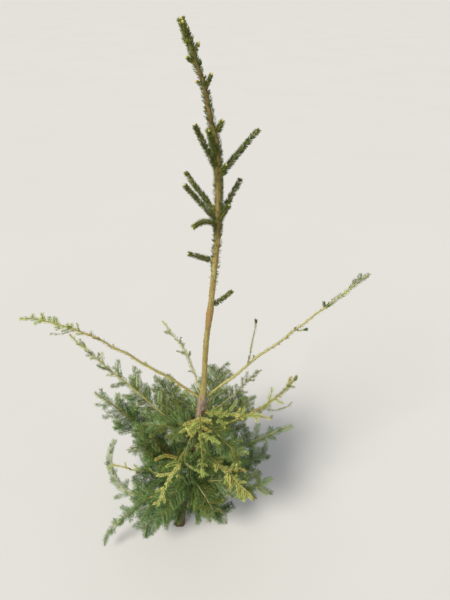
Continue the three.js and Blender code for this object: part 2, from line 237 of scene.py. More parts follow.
WAVES, WAVE_PLAY = 5, (0.6, 1.6)


def ripple(places, wave, seed):
    """A smooth uneven field from -1 to 1 over points in space, made of a few crossed waves."""
    draw = np.random.RandomState(seed)
    total = np.zeros(len(places))
    for _ in range(WAVES):
        course = draw.normal(size=3)
        course *= 2 * math.pi / wave / np.linalg.norm(course) * draw.uniform(*WAVE_PLAY)
        total += np.sin(places @ course + draw.uniform(0, 2 * math.pi))
    return total / WAVES


def mesh_from_rings(name, rings):
    """A closed tube from rings of points in millimetres, with a flat face at both ends."""
    count, sides = rings.shape[:2]
    ring, side = np.meshgrid(np.arange(count - 1), np.arange(sides), indexing="ij")
    after = (side + 1) % sides
    faces = np.stack([ring * sides + side, ring * sides + after, (ring + 1) * sides + after,
                      (ring + 1) * sides + side], -1).reshape(-1, 4)
    mesh = bpy.data.meshes.new(name)
    ends = [list(range(sides))[::-1], list(range((count - 1) * sides, count * sides))]
    mesh.from_pydata((rings.reshape(-1, 3) * MM).tolist(), [], faces.tolist() + ends)
    mesh.shade_smooth()
    return mesh


def levels(rows, places):
    """What each further column of a table says at some places, which stand in its first column."""
    table = np.array(rows)
    return [np.interp(places, table[:, 0], column) for column in table.T[1:]]


# Swellings of the trunk: height, how far each reaches up and down, and how thick it is. Then how rough the
# bark is at some heights, and the waves of its flakes, their fine edges and its knobs.
SWELLINGS = (
    (600, 16, 1.5), (566, 14, 1.3), (884, 24, 1.7), (1022, 10, 0.7), (1114, 16, 1.2), (1206, 18, 1.3))
ROUGHNESS = ((0, 0.9), (540, 0.8), (600, 1.1), (660, 0.4), (870, 0.9), (900, 0.9), (960, 0.45), (1060, 0.7),
             (1414, 0.6))
FLAKE_WAVE, FLAKE_SEED, FLAKE_STRETCH = 3.4, 5, (1, 1, 0.28)
EDGE_WAVE, EDGE_SEED, EDGE_SHARE = 1.6, 6, 0.7
KNOB_WAVE, KNOB_SEED, KNOB_SHARE = 9, 7, 0.9
BARK_SIDES, BARK_RING_STEP = 40, 2.4
bark_heights = np.linspace(0, TRUNK_TOP, int(TRUNK_TOP / BARK_RING_STEP))
middles, radii = trunk_at(bark_heights)
for height, reach, thick in SWELLINGS:
    radii += thick * np.exp(-((bark_heights - height) / reach) ** 2)
turns = np.linspace(0, 2 * math.pi, BARK_SIDES, endpoint=False)
lobes = 1 - FLARE_LOBE_DEPTH * np.exp(-bark_heights / FLARE_HEIGHT)[:, None] * np.cos(FLARE_LOBES * turns)
outward = np.stack([np.cos(turns), np.sin(turns), 0 * turns], 1)
bark = middles[:, None] + (radii[:, None] * lobes)[..., None] * outward
drawn_out = bark.reshape(-1, 3) * FLAKE_STRETCH
flakes = ripple(drawn_out, FLAKE_WAVE, FLAKE_SEED) + EDGE_SHARE * ripple(drawn_out, EDGE_WAVE, EDGE_SEED)
knobs = ripple(bark.reshape(-1, 3), KNOB_WAVE, KNOB_SEED)
rough = levels(ROUGHNESS, bark_heights)[0]
relief = (flakes + KNOB_SHARE * knobs).reshape(len(bark_heights), BARK_SIDES) * rough[:, None]
bark += relief[..., None] * outward
bark[0, :, 2] = 0
trunk = bpy.data.objects.new("trunk_bark", mesh_from_rings("trunk_bark", bark))
bpy.context.scene.collection.objects.link(trunk)

BARK_TAN, BARK_STRAW = tone(148, 134, 72), tone(178, 170, 104)
BARK_RUST, BARK_OLIVE = tone(164, 128, 78), tone(160, 130, 80)
BARK_MOSSY, BARK_WHORL = tone(88, 88, 42), tone(96, 78, 44)
BARK_PINK, BARK_GREY = tone(186, 164, 144), tone(112, 92, 74)
BARK_FOOT, BARK_DARK = tone(118, 82, 58), tone(72, 52, 40)
# The patterns of its bark: how fine each is, where it is cut off, and how far it is drawn out.
STREAKS, PATCHES = (260, 0.36, 0.62, (1, 1, 0.16)), (34, 0.42, 0.58, (1, 1, 0.5))
BLOTCHES, SPOTS = (110, 0.5, 0.62, (1, 1, 0.6)), (420, 0.5, 0.7)
BARK_GRAIN, BARK_RELIEF = (900, (1, 1, 0.25)), (0.35, 0.0005)
# Bands of other tints, in metres above the ground: where each sets in, and where it ends.
ORANGE_PART = (0.86, 0.92), (1.04, 1.1)
NODE_BAND = (0.835, 0.875), (0.895, 0.93)
WHORL_BAND, CROWN_BAND = ((1.085, 1.1), (1.12, 1.135)), ((1.185, 1.2), (1.225, 1.24))
# Where tints set in that go on to the top, and where the pinkish and the upper bark take over.
OLIVE_FROM, MOSSY_FROM, TOP_FROM = (1.06, 1.16), (1.08, 1.14), (1.25, 1.33)
PINK_FROM, UPPER_FROM = (0.5, 0.55), (0.605, 0.64)
# How strong each tint is, and how rough the bark is, less where its streaks shine.
RUST_SHARE, ORANGE_SHARE, OLIVE_SHARE, MOSSY_SHARE = 0.25, 0.4, 0.6, 0.7
WHORL_SHARE, TOP_SHARE, NODE_SHARE, SPOT_SHARE = 0.65, 0.5, 0.8, 0.35
BARK_MATT, BARK_SHINE = 0.92, 0.2
trunk_finish, net = new_finish("trunk_bark")
height = net.node("ShaderNodeSeparateXYZ", {0: net.node("ShaderNodeTexCoord", out=3)}, out=2)
streaks, patches = net.pattern(*STREAKS), net.pattern(*PATCHES)
blotches, spots = net.pattern(*BLOTCHES), net.pattern(*SPOTS)
upper = net.mix(streaks, BARK_TAN, BARK_STRAW)
for share, tint in (
        (patches * (RUST_SHARE + ORANGE_SHARE * net.band(height, *ORANGE_PART)), BARK_RUST),
        (net.ramp(height, *OLIVE_FROM) * OLIVE_SHARE, BARK_OLIVE),
        (blotches * net.ramp(height, *MOSSY_FROM) * MOSSY_SHARE, BARK_MOSSY),
        ((net.band(height, *WHORL_BAND) + net.band(height, *CROWN_BAND)) * WHORL_SHARE, BARK_WHORL),
        (net.ramp(height, *TOP_FROM) * TOP_SHARE, BARK_WHORL),
        (net.band(height, *NODE_BAND) * NODE_SHARE, BARK_RUST)):
    upper = net.mix(share, upper, tint)
lower = net.mix(streaks, net.mix(patches, BARK_GREY, BARK_FOOT), BARK_DARK)
skin = net.mix(net.ramp(height, *PINK_FROM), lower, net.mix(streaks, BARK_PINK, BARK_GREY))
skin = net.mix(net.ramp(height, *UPPER_FROM), skin, upper)
skin = net.mix(spots * SPOT_SHARE, skin, BARK_FOOT)
relief = net.bump(net.grain(*BARK_GRAIN), *BARK_RELIEF)
net.dress(skin, BARK_MATT - BARK_SHINE * streaks, Normal=relief)
trunk.data.materials.append(trunk_finish)
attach(trunk, "root")
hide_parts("trunk")

# Boughs. Woody limbs with thin bark, grown out of the trunk, each one tapering axis from the trunk's middle
# to its tip. The first stretch is the solids' bare bough, and the rest carries the twigs of its mass. Lengths
# are in millimetres and angles in degrees: headings turn from +X towards +Y, and rises go up from level.


def limb(name, height, heading, rise, length, radius, twigs, reach, **more):
    """A limb with its twigs' count and reach. More says how far it swings sideways and bends up on its way,
    and from its bough's end to its tip, how long the bough is, and how its twigs differ from the others'."""
    usual = dict(kind="lower", swing=0, bend=0, bough=0, first=0.1, roll=0, thinning=0.58, gold=False)
    return dict(usual, name=name, height=height, heading=heading, rise=rise, length=length, radius=radius,
                twigs=twigs, reach=reach, **more)


def shoot(name, height, heading, rise, length, kind="upper", radius=1.9, **more):
    """A short shoot of the stem, which bears needles but no twigs. More says how it bends on its way."""
    return limb(name, height, heading, rise, length, radius, 0, 0, kind=kind, **more)


LIMBS = [
    shoot("crown_shoot_left", 1214, 209, 59, 94, bend=7),
    shoot("crown_shoot_front", 1234, 245, 60, 64),
    shoot("crown_shoot_small", 1276, 332, 60, 30),
    shoot("crown_shoot_right", 1199, 25, 46, 111, bend=-3),
    shoot("crown_shoot_inner", 1200, 316, 55, 34),
    shoot("crown_shoot_back", 1208, 112, 54, 82),
    shoot("second_shoot_left", 1112, 197, 53, 102),
    shoot("second_shoot_left_back", 1125, 148, 45, 103),
    shoot("second_shoot_drooping", 1098, 226, 62, 74, bend=-82),
    shoot("second_shoot_right", 1118, 29, 55, 86),
    shoot("second_shoot_front", 1112, 309, 54, 56),
    shoot("second_shoot_back", 1114, 84, 52, 84),
    shoot("stem_twig_left", 1022, 198, 28, 60),
    shoot("stem_twig_right", 905, 12, 35, 60),
    limb("long_right", 606, 22, 29.5, 538, 4.3, 3, 150, bend=1, bough=112, first=0.01, roll=82,
         thinning=1.15),
    limb("long_left", 606, 160, 27, 552, 4.3, 4, 66, swing=2, bend=-5, bough=265, tip_bend=-30),
    limb("slim_back_left", 612, 109, 33, 254, 2.8, 3, 60, swing=10, bend=-9, bough=104, tip_swing=12,
         tip_bend=-11),
    limb("slim_back_right", 528, 30, 6, 208, 2.6, 5, 70, swing=3, bend=38),
    limb("front_clump", 558, 272, -4, 172, 2.9, 7, 64, swing=6, tip_bend=-62, gold=True),
    limb("gold_right", 552, 347, 14, 187, 2.9, 6, 62, tip_bend=-12, gold=True),
    limb("inner_left", 500, 190, 14, 166, 2.9, 7, 74, tip_bend=-10),
    limb("rising_right", 466, 357, 22, 349, 3.6, 8, 84, bend=10, bough=110, tip_bend=33),
    limb("high_back", 452, 74, 8, 232, 3.6, 7, 84, bend=2, bough=64, tip_bend=3),
    limb("second_left", 440, 159, 31, 457, 4.4, 8, 70, swing=-2, bend=2, bough=140, tip_swing=-3,
         tip_bend=2),
    limb("gold_front_right", 424, 312, 6, 224, 3.2, 8, 78, swing=1, tip_swing=3, tip_bend=-22, gold=True),
    limb("gold_front_left", 404, 229, -2, 192, 3, 7, 62, tip_swing=4, tip_bend=-60, gold=True),
    limb("middle_back", 388, 116, 9, 262, 3.7, 7, 86, bend=1, bough=72, tip_bend=3),
    limb("third_left", 318, 173, 28, 373, 4, 9, 98, swing=-2, bend=25, bough=92, tip_swing=2, tip_bend=-6),
    limb("arching_right", 268, 17, 26, 346, 3.8, 8, 88, bend=0, bough=84, tip_bend=-17),
    limb("middle_back_right", 316, 50, 14, 274, 3.7, 7, 86, bend=1, bough=74, tip_bend=3),
    limb("low_front_left", 300, 238, -3, 150, 2.9, 6, 66, tip_bend=-24),
    limb("low_front_right", 276, 303, 7, 134, 3, 7, 72, tip_bend=-16),
    limb("low_left", 252, 183, 20, 237, 3.4, 8, 84, tip_swing=-6, tip_bend=-6),
    limb("low_right", 238, 351, 20, 261, 3.5, 8, 88, swing=-2, bend=-3, bough=66, tip_swing=-4,
         tip_bend=-30),
    limb("low_back", 246, 86, 14, 258, 3.6, 7, 84, bend=1, bough=70, tip_bend=3),
    limb("drooping_left", 215, 198, 14, 354, 3.3, 8, 78, swing=1, bend=-23, bough=84, tip_swing=3,
         tip_bend=-62),
    limb("low_back_left", 198, 134, 15, 246, 3.2, 7, 82, tip_bend=2),
    limb("low_back_right", 187, 25, 10, 277, 3.1, 7, 78, tip_bend=-5),
    limb("foot_front_left", 150, 216, 10, 160, 3, 7, 74, tip_bend=-34),
    limb("foot_front_right", 146, 337, 10, 142, 3, 7, 74, tip_bend=-14),
    limb("arching_left", 179, 198, 2, 420, 3.2, 8, 58, swing=-9, bend=-7, bough=70, tip_swing=-112,
         tip_bend=9),
    shoot("top_shoot", 1411, 180, 70, 40, kind="leader", radius=3),
    shoot("leader_bud_right", 1350, 350, 64, 25, kind="bud", radius=2.4),
    shoot("leader_bud_left", 1389, 184, 32, 17, kind="bud", radius=1.8),
    limb("drooping_right", 530, 320, -8, 148, 2.6, 6, 60, tip_bend=-21),
]
# Nubs on the leader, too small for solids of their own.
NUBS = [
    shoot("right_nub", 1403, 2, 62, 17, kind="bud", radius=2),
    shoot("left_nub", 1354, 186, 34, 14, kind="bud", radius=1.4),
    shoot("back_nub", 1378, 84, 58, 15, kind="bud", radius=1.6),
    shoot("low_nub", 1312, 128, 52, 16, kind="bud", radius=1.6),
]
# The step between the stations of each kind of stem, which the twig rule counts in, and of boughs.
STATION_STEP = {"lower": 17.5, "upper": 8.5, "leader": 7, "bud": 6}
BOUGH_STEP = 34
# A limb thins to a share of its radius at the tip, and swells in a collar at the foot.
LIMB_TIP_SHARE, COLLAR, COLLAR_LENGTH = 0.42, 0.35, 9
# How thick the gold limbs' axes are beside the solids' own, and the other lower limbs'.
LIMB_GIRTH = {"front_clump": 0.56, "gold_front_left": 0.62, "gold_front_right": 0.68, "gold_right": 0.68}
LOWER_GIRTH = 0.8


def directions(headings, rises):
    """Along, level across and up from a limb, at some headings and rises."""
    turn, lift = np.radians(headings), np.radians(rises)
    along = np.stack([np.cos(turn) * np.cos(lift), np.sin(turn) * np.cos(lift), np.sin(lift)], -1)
    across = np.stack([-np.sin(turn), np.cos(turn), 0 * turn], -1)
    return along, across, np.cross(along, across)


def walk(start, heading, swing, rise, bend, length, steps):
    """The stations of a path that turns evenly: its points, and its three directions at each."""
    middle = (np.arange(steps) + 0.5) / steps
    strides = directions(heading + swing * middle, rise + bend * middle)[0] * (length / steps)
    points = np.vstack([start, start + np.cumsum(strides, axis=0)])
    done = np.arange(steps + 1) / steps
    return (points, *directions(heading + swing * done, rise + bend * done))


def limb_paths(limb, finer=1):
    """The bough's stretch and the mass's stem, at their stations or at finer ones."""
    bough, length, step = limb["bough"], limb["length"], STATION_STEP[limb["kind"]]
    swing, bend = limb["swing"], limb["bend"]
    heading, rise = limb["heading"], limb["rise"]
    foot = trunk_at(limb["height"])[0][0]
    bare = None
    if bough:
        bare = walk(foot, heading, swing, rise, bend, bough, math.ceil(bough / BOUGH_STEP) * finer)
        foot, heading, rise = bare[0][-1], heading + swing, rise + bend
    swing, bend = limb.get("tip_swing", swing), limb.get("tip_bend", bend)
    steps = math.ceil((length - bough) / step) * finer
    return bare, walk(foot, heading, swing, rise, bend, length - bough, steps)


def whole_path(limb, finer):
    """A limb's path from the trunk to its tip, bough and stem in one."""
    bare, stem = limb_paths(limb, finer)
    if bare is None:
        return stem
    return tuple(np.vstack([first, then[1:]]) for first, then in zip(bare, stem))


def limb_radius(limb, share):
    """How thick a limb is at a share of its whole length."""
    collar = COLLAR * np.exp(-share * limb["length"] / COLLAR_LENGTH)
    return limb["radius"] * (1 - (1 - LIMB_TIP_SHARE) * share + collar)


def reach_of(points):
    """How far along a path each of its points is."""
    return np.concatenate([[0], np.cumsum(np.linalg.norm(np.diff(points, axis=0), axis=1))])


DRIFT, DRIFT_WAVE, DRIFT_SEEDS = 3.2, 74, (11, 12, 13)
DRIFT_FROM, DRIFT_OVER = 14, 90


def drift(points):
    """Shifts points a little to and fro, as no limb is even, and less so near the trunk."""
    middles, _ = trunk_at(np.clip(points[:, 2], 0, TRUNK_TOP))
    beside = np.linalg.norm(points - middles, axis=1)
    share = np.clip((beside - DRIFT_FROM) / DRIFT_OVER, 0, 1)[:, None]
    return points + DRIFT * share * np.stack([ripple(points, DRIFT_WAVE, seed) for seed in DRIFT_SEEDS], 1)


def geometry_tree(name, inputs):
    """A Geometry Nodes tree with named inputs, as a net, with a wire for each input."""
    tree = bpy.data.node_groups.new(name, "GeometryNodeTree")
    tree.interface.new_socket("Geometry", in_out="INPUT", socket_type="NodeSocketGeometry")
    for label, kind in inputs.items():
        tree.interface.new_socket(label, in_out="INPUT", socket_type="NodeSocket" + kind)
    tree.interface.new_socket("Geometry", in_out="OUTPUT", socket_type="NodeSocketGeometry")
    given = tree.nodes.new("NodeGroupInput")
    net = Net(tree)
    return net, {socket.name: Wire(net, socket) for socket in given.outputs if socket.name}


def finish_tree(net, geometry, given):
    """Ends a tree: instances are realized, shaded smooth and given their material."""
    plain = net.node("GeometryNodeRealizeInstances", {0: geometry})
    smooth = net.node("GeometryNodeSetShadeSmooth", {0: plain})
    dressed = net.node("GeometryNodeSetMaterial", {"Geometry": smooth, "Material": given["Material"]})
    net.fill(net.tree.nodes.new("NodeGroupOutput"), {0: dressed})


def grow_piece(name, source, tree, values):
    """The mesh that a tree makes from a source mesh, as a plain piece of that name."""
    piece = bpy.data.objects.new(name, source)
    bpy.context.scene.collection.objects.link(piece)
    growth = piece.modifiers.new("growth", "NODES")
    growth.node_group = tree
    for socket in tree.interface.items_tree:
        if socket.in_out == "INPUT" and socket.name in values:
            growth[socket.identifier] = values[socket.name]
    evaluated = piece.evaluated_get(bpy.context.evaluated_depsgraph_get())
    piece.data = bpy.data.meshes.new_from_object(evaluated)
    piece.data.name = name
    piece.modifiers.remove(growth)
    for label in ("thickness", "aim", "lie", "size"):
        if label in piece.data.attributes:
            piece.data.attributes.remove(piece.data.attributes[label])
    return piece


# The skin of an axis: a round tube along each line, as thick as its points say, with an uneven surface.
net, given = geometry_tree("axis_skin", {
    "Sides": "Int", "Relief": "Float", "Grain": "Float", "Material": "Material"})
lines = net.node("GeometryNodeMeshToCurve", {0: given["Geometry"]})
ring = net.node("GeometryNodeCurvePrimitiveCircle", {"Resolution": given["Sides"], "Radius": 1.0})
thickness = net.node("GeometryNodeInputNamedAttribute", {"Name": "thickness"}, data_type="FLOAT")
sockets = {"Curve": lines, "Profile Curve": ring, "Scale": thickness, "Fill Caps": True}
tube = net.node("GeometryNodeCurveToMesh", sockets)
place = net.node("GeometryNodeInputPosition")
noise = net.node("ShaderNodeTexNoise", {"Vector": place, "Scale": given["Grain"], "Detail": 2.0})
outwards = net.node("GeometryNodeInputNormal")
lift = (noise - 0.5) * given["Relief"]
offset = net.node("ShaderNodeVectorMath", {0: outwards, "Scale": lift}, operation="SCALE")
tube = net.node("GeometryNodeSetPosition", {"Geometry": tube, "Offset": offset})
finish_tree(net, tube, given)
axis_skin = net.tree


def add_attribute(mesh, label, values):
    """Gives each point of a mesh a number or a vector of its own."""
    kind, field = ("FLOAT", "value") if values.ndim == 1 else ("FLOAT_VECTOR", "vector")
    mesh.attributes.new(label, kind, "POINT").data.foreach_set(field, values.astype(np.float32).ravel())


def axis_lines(name, axes):
    """A mesh of lines with their thickness, from pairs of points and radii in millimetres."""
    mesh = bpy.data.meshes.new(name)
    edges, start = [], 0
    for line, _ in axes:
        ends = np.arange(start, start + len(line) - 1)
        edges.append(np.stack([ends, ends + 1], 1))
        start += len(line)
    points, radii = (np.concatenate(rows) * MM for rows in zip(*axes))
    mesh.from_pydata(points.tolist(), np.vstack(edges).tolist(), [])
    add_attribute(mesh, "thickness", radii)
    return mesh


LIMB_STREAKS, LIMB_FLECKS = (190, 0.4, 0.6), (520, 0.54, 0.68)
FLECK_SHARE, LIMB_GRAIN, LIMB_RELIEF = 0.6, 700, (0.4, 0.0004)
LIMB_MATT, LIMB_SHINE = 0.85, 0.2


def bark_finish(name, old, young, dark):
    """Thin bark of a limb or twig: two tones in fine streaks, with darker flecks where needles were."""
    finish, net = new_finish(name)
    streaks, flecks = net.pattern(*LIMB_STREAKS), net.pattern(*LIMB_FLECKS)
    skin = net.mix(flecks * FLECK_SHARE, net.mix(streaks, tone(*old), tone(*young)), tone(*dark))
    relief = net.bump(net.grain(LIMB_GRAIN), *LIMB_RELIEF)
    net.dress(skin, LIMB_MATT - LIMB_SHINE * streaks, Normal=relief)
    return finish


limb_barks = {
    "straw": bark_finish("straw_bark", (166, 158, 90), (198, 190, 122), (118, 106, 56)),
    "tan": bark_finish("tan_bark", (144, 128, 64), (178, 165, 94), (98, 86, 46)),
    "brown": bark_finish("brown_bark", (112, 86, 58), (138, 110, 74), (76, 58, 42)),
}
# Which bark each limb's axis has, where it isn't brown with age: straw on the long young ones, tan beside
# them and on the short shoots.
STRAW_LIMBS = {
    "long_right", "slim_back_left", "slim_back_right", "second_left", "arching_left", "low_front_right",
    "gold_front_left", "drooping_right", "low_left", "low_right", "low_back_right", "arching_right"}
TAN_LIMBS = {
    "long_left", "third_left", "front_clump", "gold_right", "gold_front_right", "rising_right",
    "inner_left", "drooping_left", "middle_back_right"}
FINER = 4
LIMB_SKIN = {"Sides": 9, "Relief": 0.0012, "Grain": 300.0}
limb_axes = {bark_kind: [] for bark_kind in limb_barks}
carried = {bark_kind: [] for bark_kind in limb_barks}
for limb in LIMBS + NUBS:
    points = whole_path(limb, FINER)[0]
    is_tan = limb["kind"] != "lower" or limb["name"] in TAN_LIMBS
    bark_kind = "straw" if limb["name"] in STRAW_LIMBS else "tan" if is_tan else "brown"
    reach = reach_of(points)
    girth = LIMB_GIRTH.get(limb["name"], LOWER_GIRTH if limb["kind"] == "lower" else 1)
    limb_axes[bark_kind].append((drift(points), girth * limb_radius(limb, reach / reach[-1])))
    if f"bough_{limb['name']}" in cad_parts:
        carried[bark_kind].append(limb["name"])

for bark_kind, finish in limb_barks.items():
    lines = axis_lines("lines", limb_axes[bark_kind])
    boughs = grow_piece(f"boughs_{bark_kind}", lines, axis_skin, {**LIMB_SKIN, "Material": finish})
    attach(boughs, "root")
    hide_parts(*[f"bough_{name}" for name in carried[bark_kind]])

# Twigs. Each mass's twigs leave its stem by turns on either side, longest near its foot, by the solids' rule
# and draws. Finer ones then grow between them and on them, in flat sprays, and stop at the edge of the
# limb's own space. Their thin bark is greener than the limbs', from straw on young ones to brown on old ones.
TWIG_LAST = 0.9
TWIG_SPREAD, TWIG_SPREAD_PLAY = 50, 14
TWIG_ROLL_PLAY, TWIG_LIFT, TWIG_SHORTEST = 110, 12, 26
TWIG_LEAST_SHARE, TWIG_SHARE_PLAY = 0.8, 0.4
SEAT_GAP = 0.3
FIRST_SEED, SEED_STEP = 101, 37
SEED_FACTOR, SEED_OFFSET, SEED_RANGE = 1664525, 1013904223, 2 ** 32


def seeded(seed):
    """A row of even numbers from 0 to 1 that depends only on its seed."""
    while True:
        seed = (seed * SEED_FACTOR + SEED_OFFSET) % SEED_RANGE
        yield seed / SEED_RANGE


# A limb's own space: every point that lies nearer to its own line than to another limb's, by some room.
# Points are measured in batches, which keeps the arrays small.
ROOM, PROBE_STEPS, BATCH = 1.2, 12, 2000
LEAST_LINK = 1e-9
coarse_paths = [limb_paths(limb) for limb in LIMBS]
link_starts, link_ends, first_links = [], [], []
for bare, stem in coarse_paths:
    chain = stem[0] if bare is None else np.vstack([bare[0], stem[0]])
    first_links.append(len(link_starts))
    link_starts.extend(chain[:-1])
    link_ends.extend(chain[1:])
link_starts, link_ends = np.array(link_starts), np.array(link_ends)
link_spans = link_ends - link_starts
link_lengths = np.maximum((link_spans ** 2).sum(1), LEAST_LINK)


def distances(points):
    """How far each point is from each limb's line."""
    found = []
    for some in np.array_split(points, max(1, len(points) // BATCH)):
        toward = some[:, None] - link_starts
        share = np.clip((toward * link_spans).sum(-1) / link_lengths, 0, 1)
        apart = np.linalg.norm(toward - share[..., None] * link_spans, axis=-1)
        found.append(np.minimum.reduceat(apart, first_links, axis=1))
    return np.vstack(found)


BOX_LOW, BOX_HIGH = (np.array(corner) / MM for corner in cad_box)
TWIG_SPARE, NEEDLE_SPARE, LOWEST_TIP = 6, 17, 1


def is_own(owners, points):
    """True where a point is above the ground, clear of the trunk, and in its own limb's space."""
    apart = distances(points)
    rows = np.arange(len(points))
    own = apart[rows, owners].copy()
    apart[rows, owners] = np.inf
    middles, radii = trunk_at(np.clip(points[:, 2], 0, TRUNK_TOP))
    beside = np.hypot(points[:, 0] - middles[:, 0], points[:, 1] - middles[:, 1])
    clear = (beside >= radii + 2 * ROOM) | (points[:, 2] >= TRUNK_TOP + ROOM)
    return (points[:, 2] >= ROOM) & clear & (own + ROOM < apart.min(1)) & in_box(points, TWIG_SPARE)


def in_box(points, spare):
    """True where a point is in the solids' box, or stands out of it by less than the spare."""
    return ((points > BOX_LOW - spare) & (points < BOX_HIGH + spare)).all(1)


def station_at(path, place):
    """The point and the directions of a path at a place counted in its stations."""
    number = min(int(place), len(path[0]) - 2)
    point = path[0][number] + (path[0][number + 1] - path[0][number]) * (place - number)
    return point, path[1][number], path[2][number], path[3][number]


def along_path(path, places):
    """The points and directions of a path at some distances along it."""
    reach = reach_of(path[0])
    return [np.stack([np.interp(places, reach, rows[:, axis]) for axis in range(3)], -1) for rows in path]


def at_place(path, place):
    """The point and the directions of a path at one distance along it."""
    return [rows[0] for rows in along_path(path, [place])]


def set_off(station, spread, roll):
    """The start, heading and rise of a twig that leaves a path at a station."""
    point, along, across, up = station
    spread, roll = math.radians(spread), math.radians(roll)
    aim = along * math.cos(spread) + (across * math.cos(roll) + up * math.sin(roll)) * math.sin(spread)
    heading, rise = math.atan2(aim[1], aim[0]), math.asin(np.clip(aim[2], -1, 1))
    return dict(start=point, heading=math.degrees(heading), rise=math.degrees(rise))


def cut_to_space(wishes, shortest):
    """Cuts each wished twig where it would leave its limb's space, and drops those that end too short."""
    probes = [walk(wish["start"], wish["heading"], 0, wish["rise"], wish["bend"], wish["length"],
                   PROBE_STEPS)[0] for wish in wishes]
    owners = np.repeat([wish["owner"] for wish in wishes], PROBE_STEPS + 1)
    inside = is_own(owners, np.vstack(probes)).reshape(-1, PROBE_STEPS + 1)
    inside[:, :2] = True
    kept = []
    for wish, row in zip(wishes, inside):
        if not row.all():
            wish["length"] *= (np.argmin(row) - 1) / PROBE_STEPS
        if wish["length"] >= shortest:
            kept.append(wish)
    return kept


def lay_out(twigs, step):
    """Gives each twig its path."""
    for twig in twigs:
        steps = math.ceil(twig["length"] / step)
        twig["path"] = walk(twig["start"], twig["heading"], twig.get("swing", 0), twig["rise"],
                            twig["bend"], twig["length"], steps)
    return twigs


wishes = []
for index, (limb, (bare, stem)) in enumerate(zip(LIMBS, coarse_paths)):
    if bare is not None:
        stem = (np.vstack([stem[0][0] + SEAT_GAP * stem[1][0], stem[0][1:]]), *stem[1:])
    draw, count, first = seeded(FIRST_SEED + SEED_STEP * index), limb["twigs"], limb["first"]
    for number in range(count):
        share = first + (TWIG_LAST - first) * (number + 0.5 * next(draw)) / count
        roll = limb["roll"] + 180 * number + TWIG_ROLL_PLAY * (next(draw) - 0.5)
        spread = TWIG_SPREAD + TWIG_SPREAD_PLAY * (next(draw) - 0.5)
        longest = limb["reach"] * (1 - limb["thinning"] * share)
        length = longest * (TWIG_LEAST_SHARE + TWIG_SHARE_PLAY * next(draw))
        leaving = set_off(station_at(stem, share * (len(stem[0]) - 1)), spread, roll)
        wishes.append(dict(leaving, owner=index, bend=TWIG_LIFT, length=length, share=share))
main_twigs = cut_to_space(wishes, TWIG_SHORTEST)

# Finer twigs on the limbs. Most limbs bear long straight ones in a flat spray, the gold ones short ones all
# round. A few limbs are sparse: by the share of their length, how thick their needles are, how long, and how
# many twigs they bear. Near the trunk more twigs go every way, and hide it.
FINE_STEP, FINE_START, FINE_SHORTEST = 6.8, 24, 12
FINE_SPREAD, FINE_ROLL, FINE_LIFT, FINE_PLAY = (44, 54), (-26, 26), 8, (0.75, 1.08)
FINE_THINNING, FOOT_SHARE, FOOT_LENGTH = 0.58, 0.45, 120
GOLD_STEP, GOLD_SPREAD = 5.5, (44, 76)
GOLD_LENGTH, GOLD_FULL, GOLD_THINNING = (12, 22), 1.1, 0.4
INNER_TWIGS, INNER_BELOW, INNER_START = 7, 520, (3, 46)
INNER_SPREAD, INNER_BEND, INNER_LENGTH = (46, 82), (-20, 10), (34, 66)
ALL_ROUND = (0, 360)
SCATTER = (0.1, 0.9)
BARE_BELOW, BARE_REACH = 0.5, 30
FINE_TWIG_STEP = 7
FULL = ((0, 1, 1, 1), (1, 1, 1, 1))
SPARSE = {
    "long_right": ((0, 0.3, 0.42, 0.1), (0.7, 0.3, 0.5, 0.1), (0.76, 0.8, 0.7, 0), (1, 0.9, 0.75, 0.1)),
    "long_left": ((0, 0.35, 0.42, 0.1), (0.55, 0.4, 0.5, 0.1), (0.66, 0.8, 0.7, 0.3), (1, 0.9, 0.75, 0.4)),
    "slim_back_left": ((0, 0.3, 0.5, 0.2), (1, 0.5, 0.6, 0.2)),
    "slim_back_right": ((0, 0.45, 0.6, 0.2), (1, 0.6, 0.7, 0.3)),
    "second_left": ((0, 1, 1, 1), (0.42, 0.95, 0.95, 0.9), (0.58, 0.6, 0.7, 0.35), (1, 0.5, 0.6, 0.2)),
    "rising_right": ((0, 0.9, 0.9, 0.9), (0.35, 0.6, 0.75, 0.4), (1, 0.6, 0.7, 0.3)),
    "third_left": ((0, 1, 1, 1), (0.6, 1, 1, 0.9), (0.86, 0.8, 0.9, 0.4), (1, 0.7, 0.8, 0.3)),
    "inner_left": ((0, 1, 1, 0.7), (1, 1, 0.9, 0.5)),
    "arching_right": ((0, 1, 1, 1), (0.45, 1, 1, 0.8), (0.6, 1, 1.15, 0.06), (1, 1, 1.1, 0)),
    "low_right": ((0, 1, 1, 1), (0.6, 1, 1, 0.8), (1, 1, 1, 0.4)),
    "arching_left": ((0, 1, 1, 1), (0.35, 1, 1, 0.7), (0.5, 1, 1.25, 0.05), (1, 1, 1.2, 0)),
    "drooping_left": ((0, 1, 1, 1), (0.38, 1, 1, 0.7), (0.5, 1, 1.25, 0), (1, 1, 1.15, 0)),
    "low_left": ((0, 1, 1, 1), (0.55, 1, 1, 0.9), (0.66, 0.3, 0.5, 0.1), (0.88, 0.3, 0.5, 0.05),
                 (0.93, 0.8, 0.6, 0.2), (1, 0.9, 0.6, 0.2)),
    "gold_right": ((0, 1, 1, 1), (1, 1, 1, 0.5)),
    "gold_front_right": ((0, 1, 1, 1), (0.6, 1, 1, 1), (0.75, 1, 1, 0.3), (1, 1, 1, 0.3)),
    "gold_front_left": ((0, 1, 1, 1), (0.4, 1, 1, 0.8), (0.6, 0.9, 0.9, 0.3), (1, 1, 1, 0.4)),
    "front_clump": ((0, 0.8, 0.8, 1), (0.1, 1, 1, 1), (0.4, 1, 1, 1), (0.52, 0.2, 0.6, 0.1),
                    (0.8, 0.25, 0.7, 0.1), (0.88, 1, 1, 0.8), (1, 1, 1, 0.8)),
}
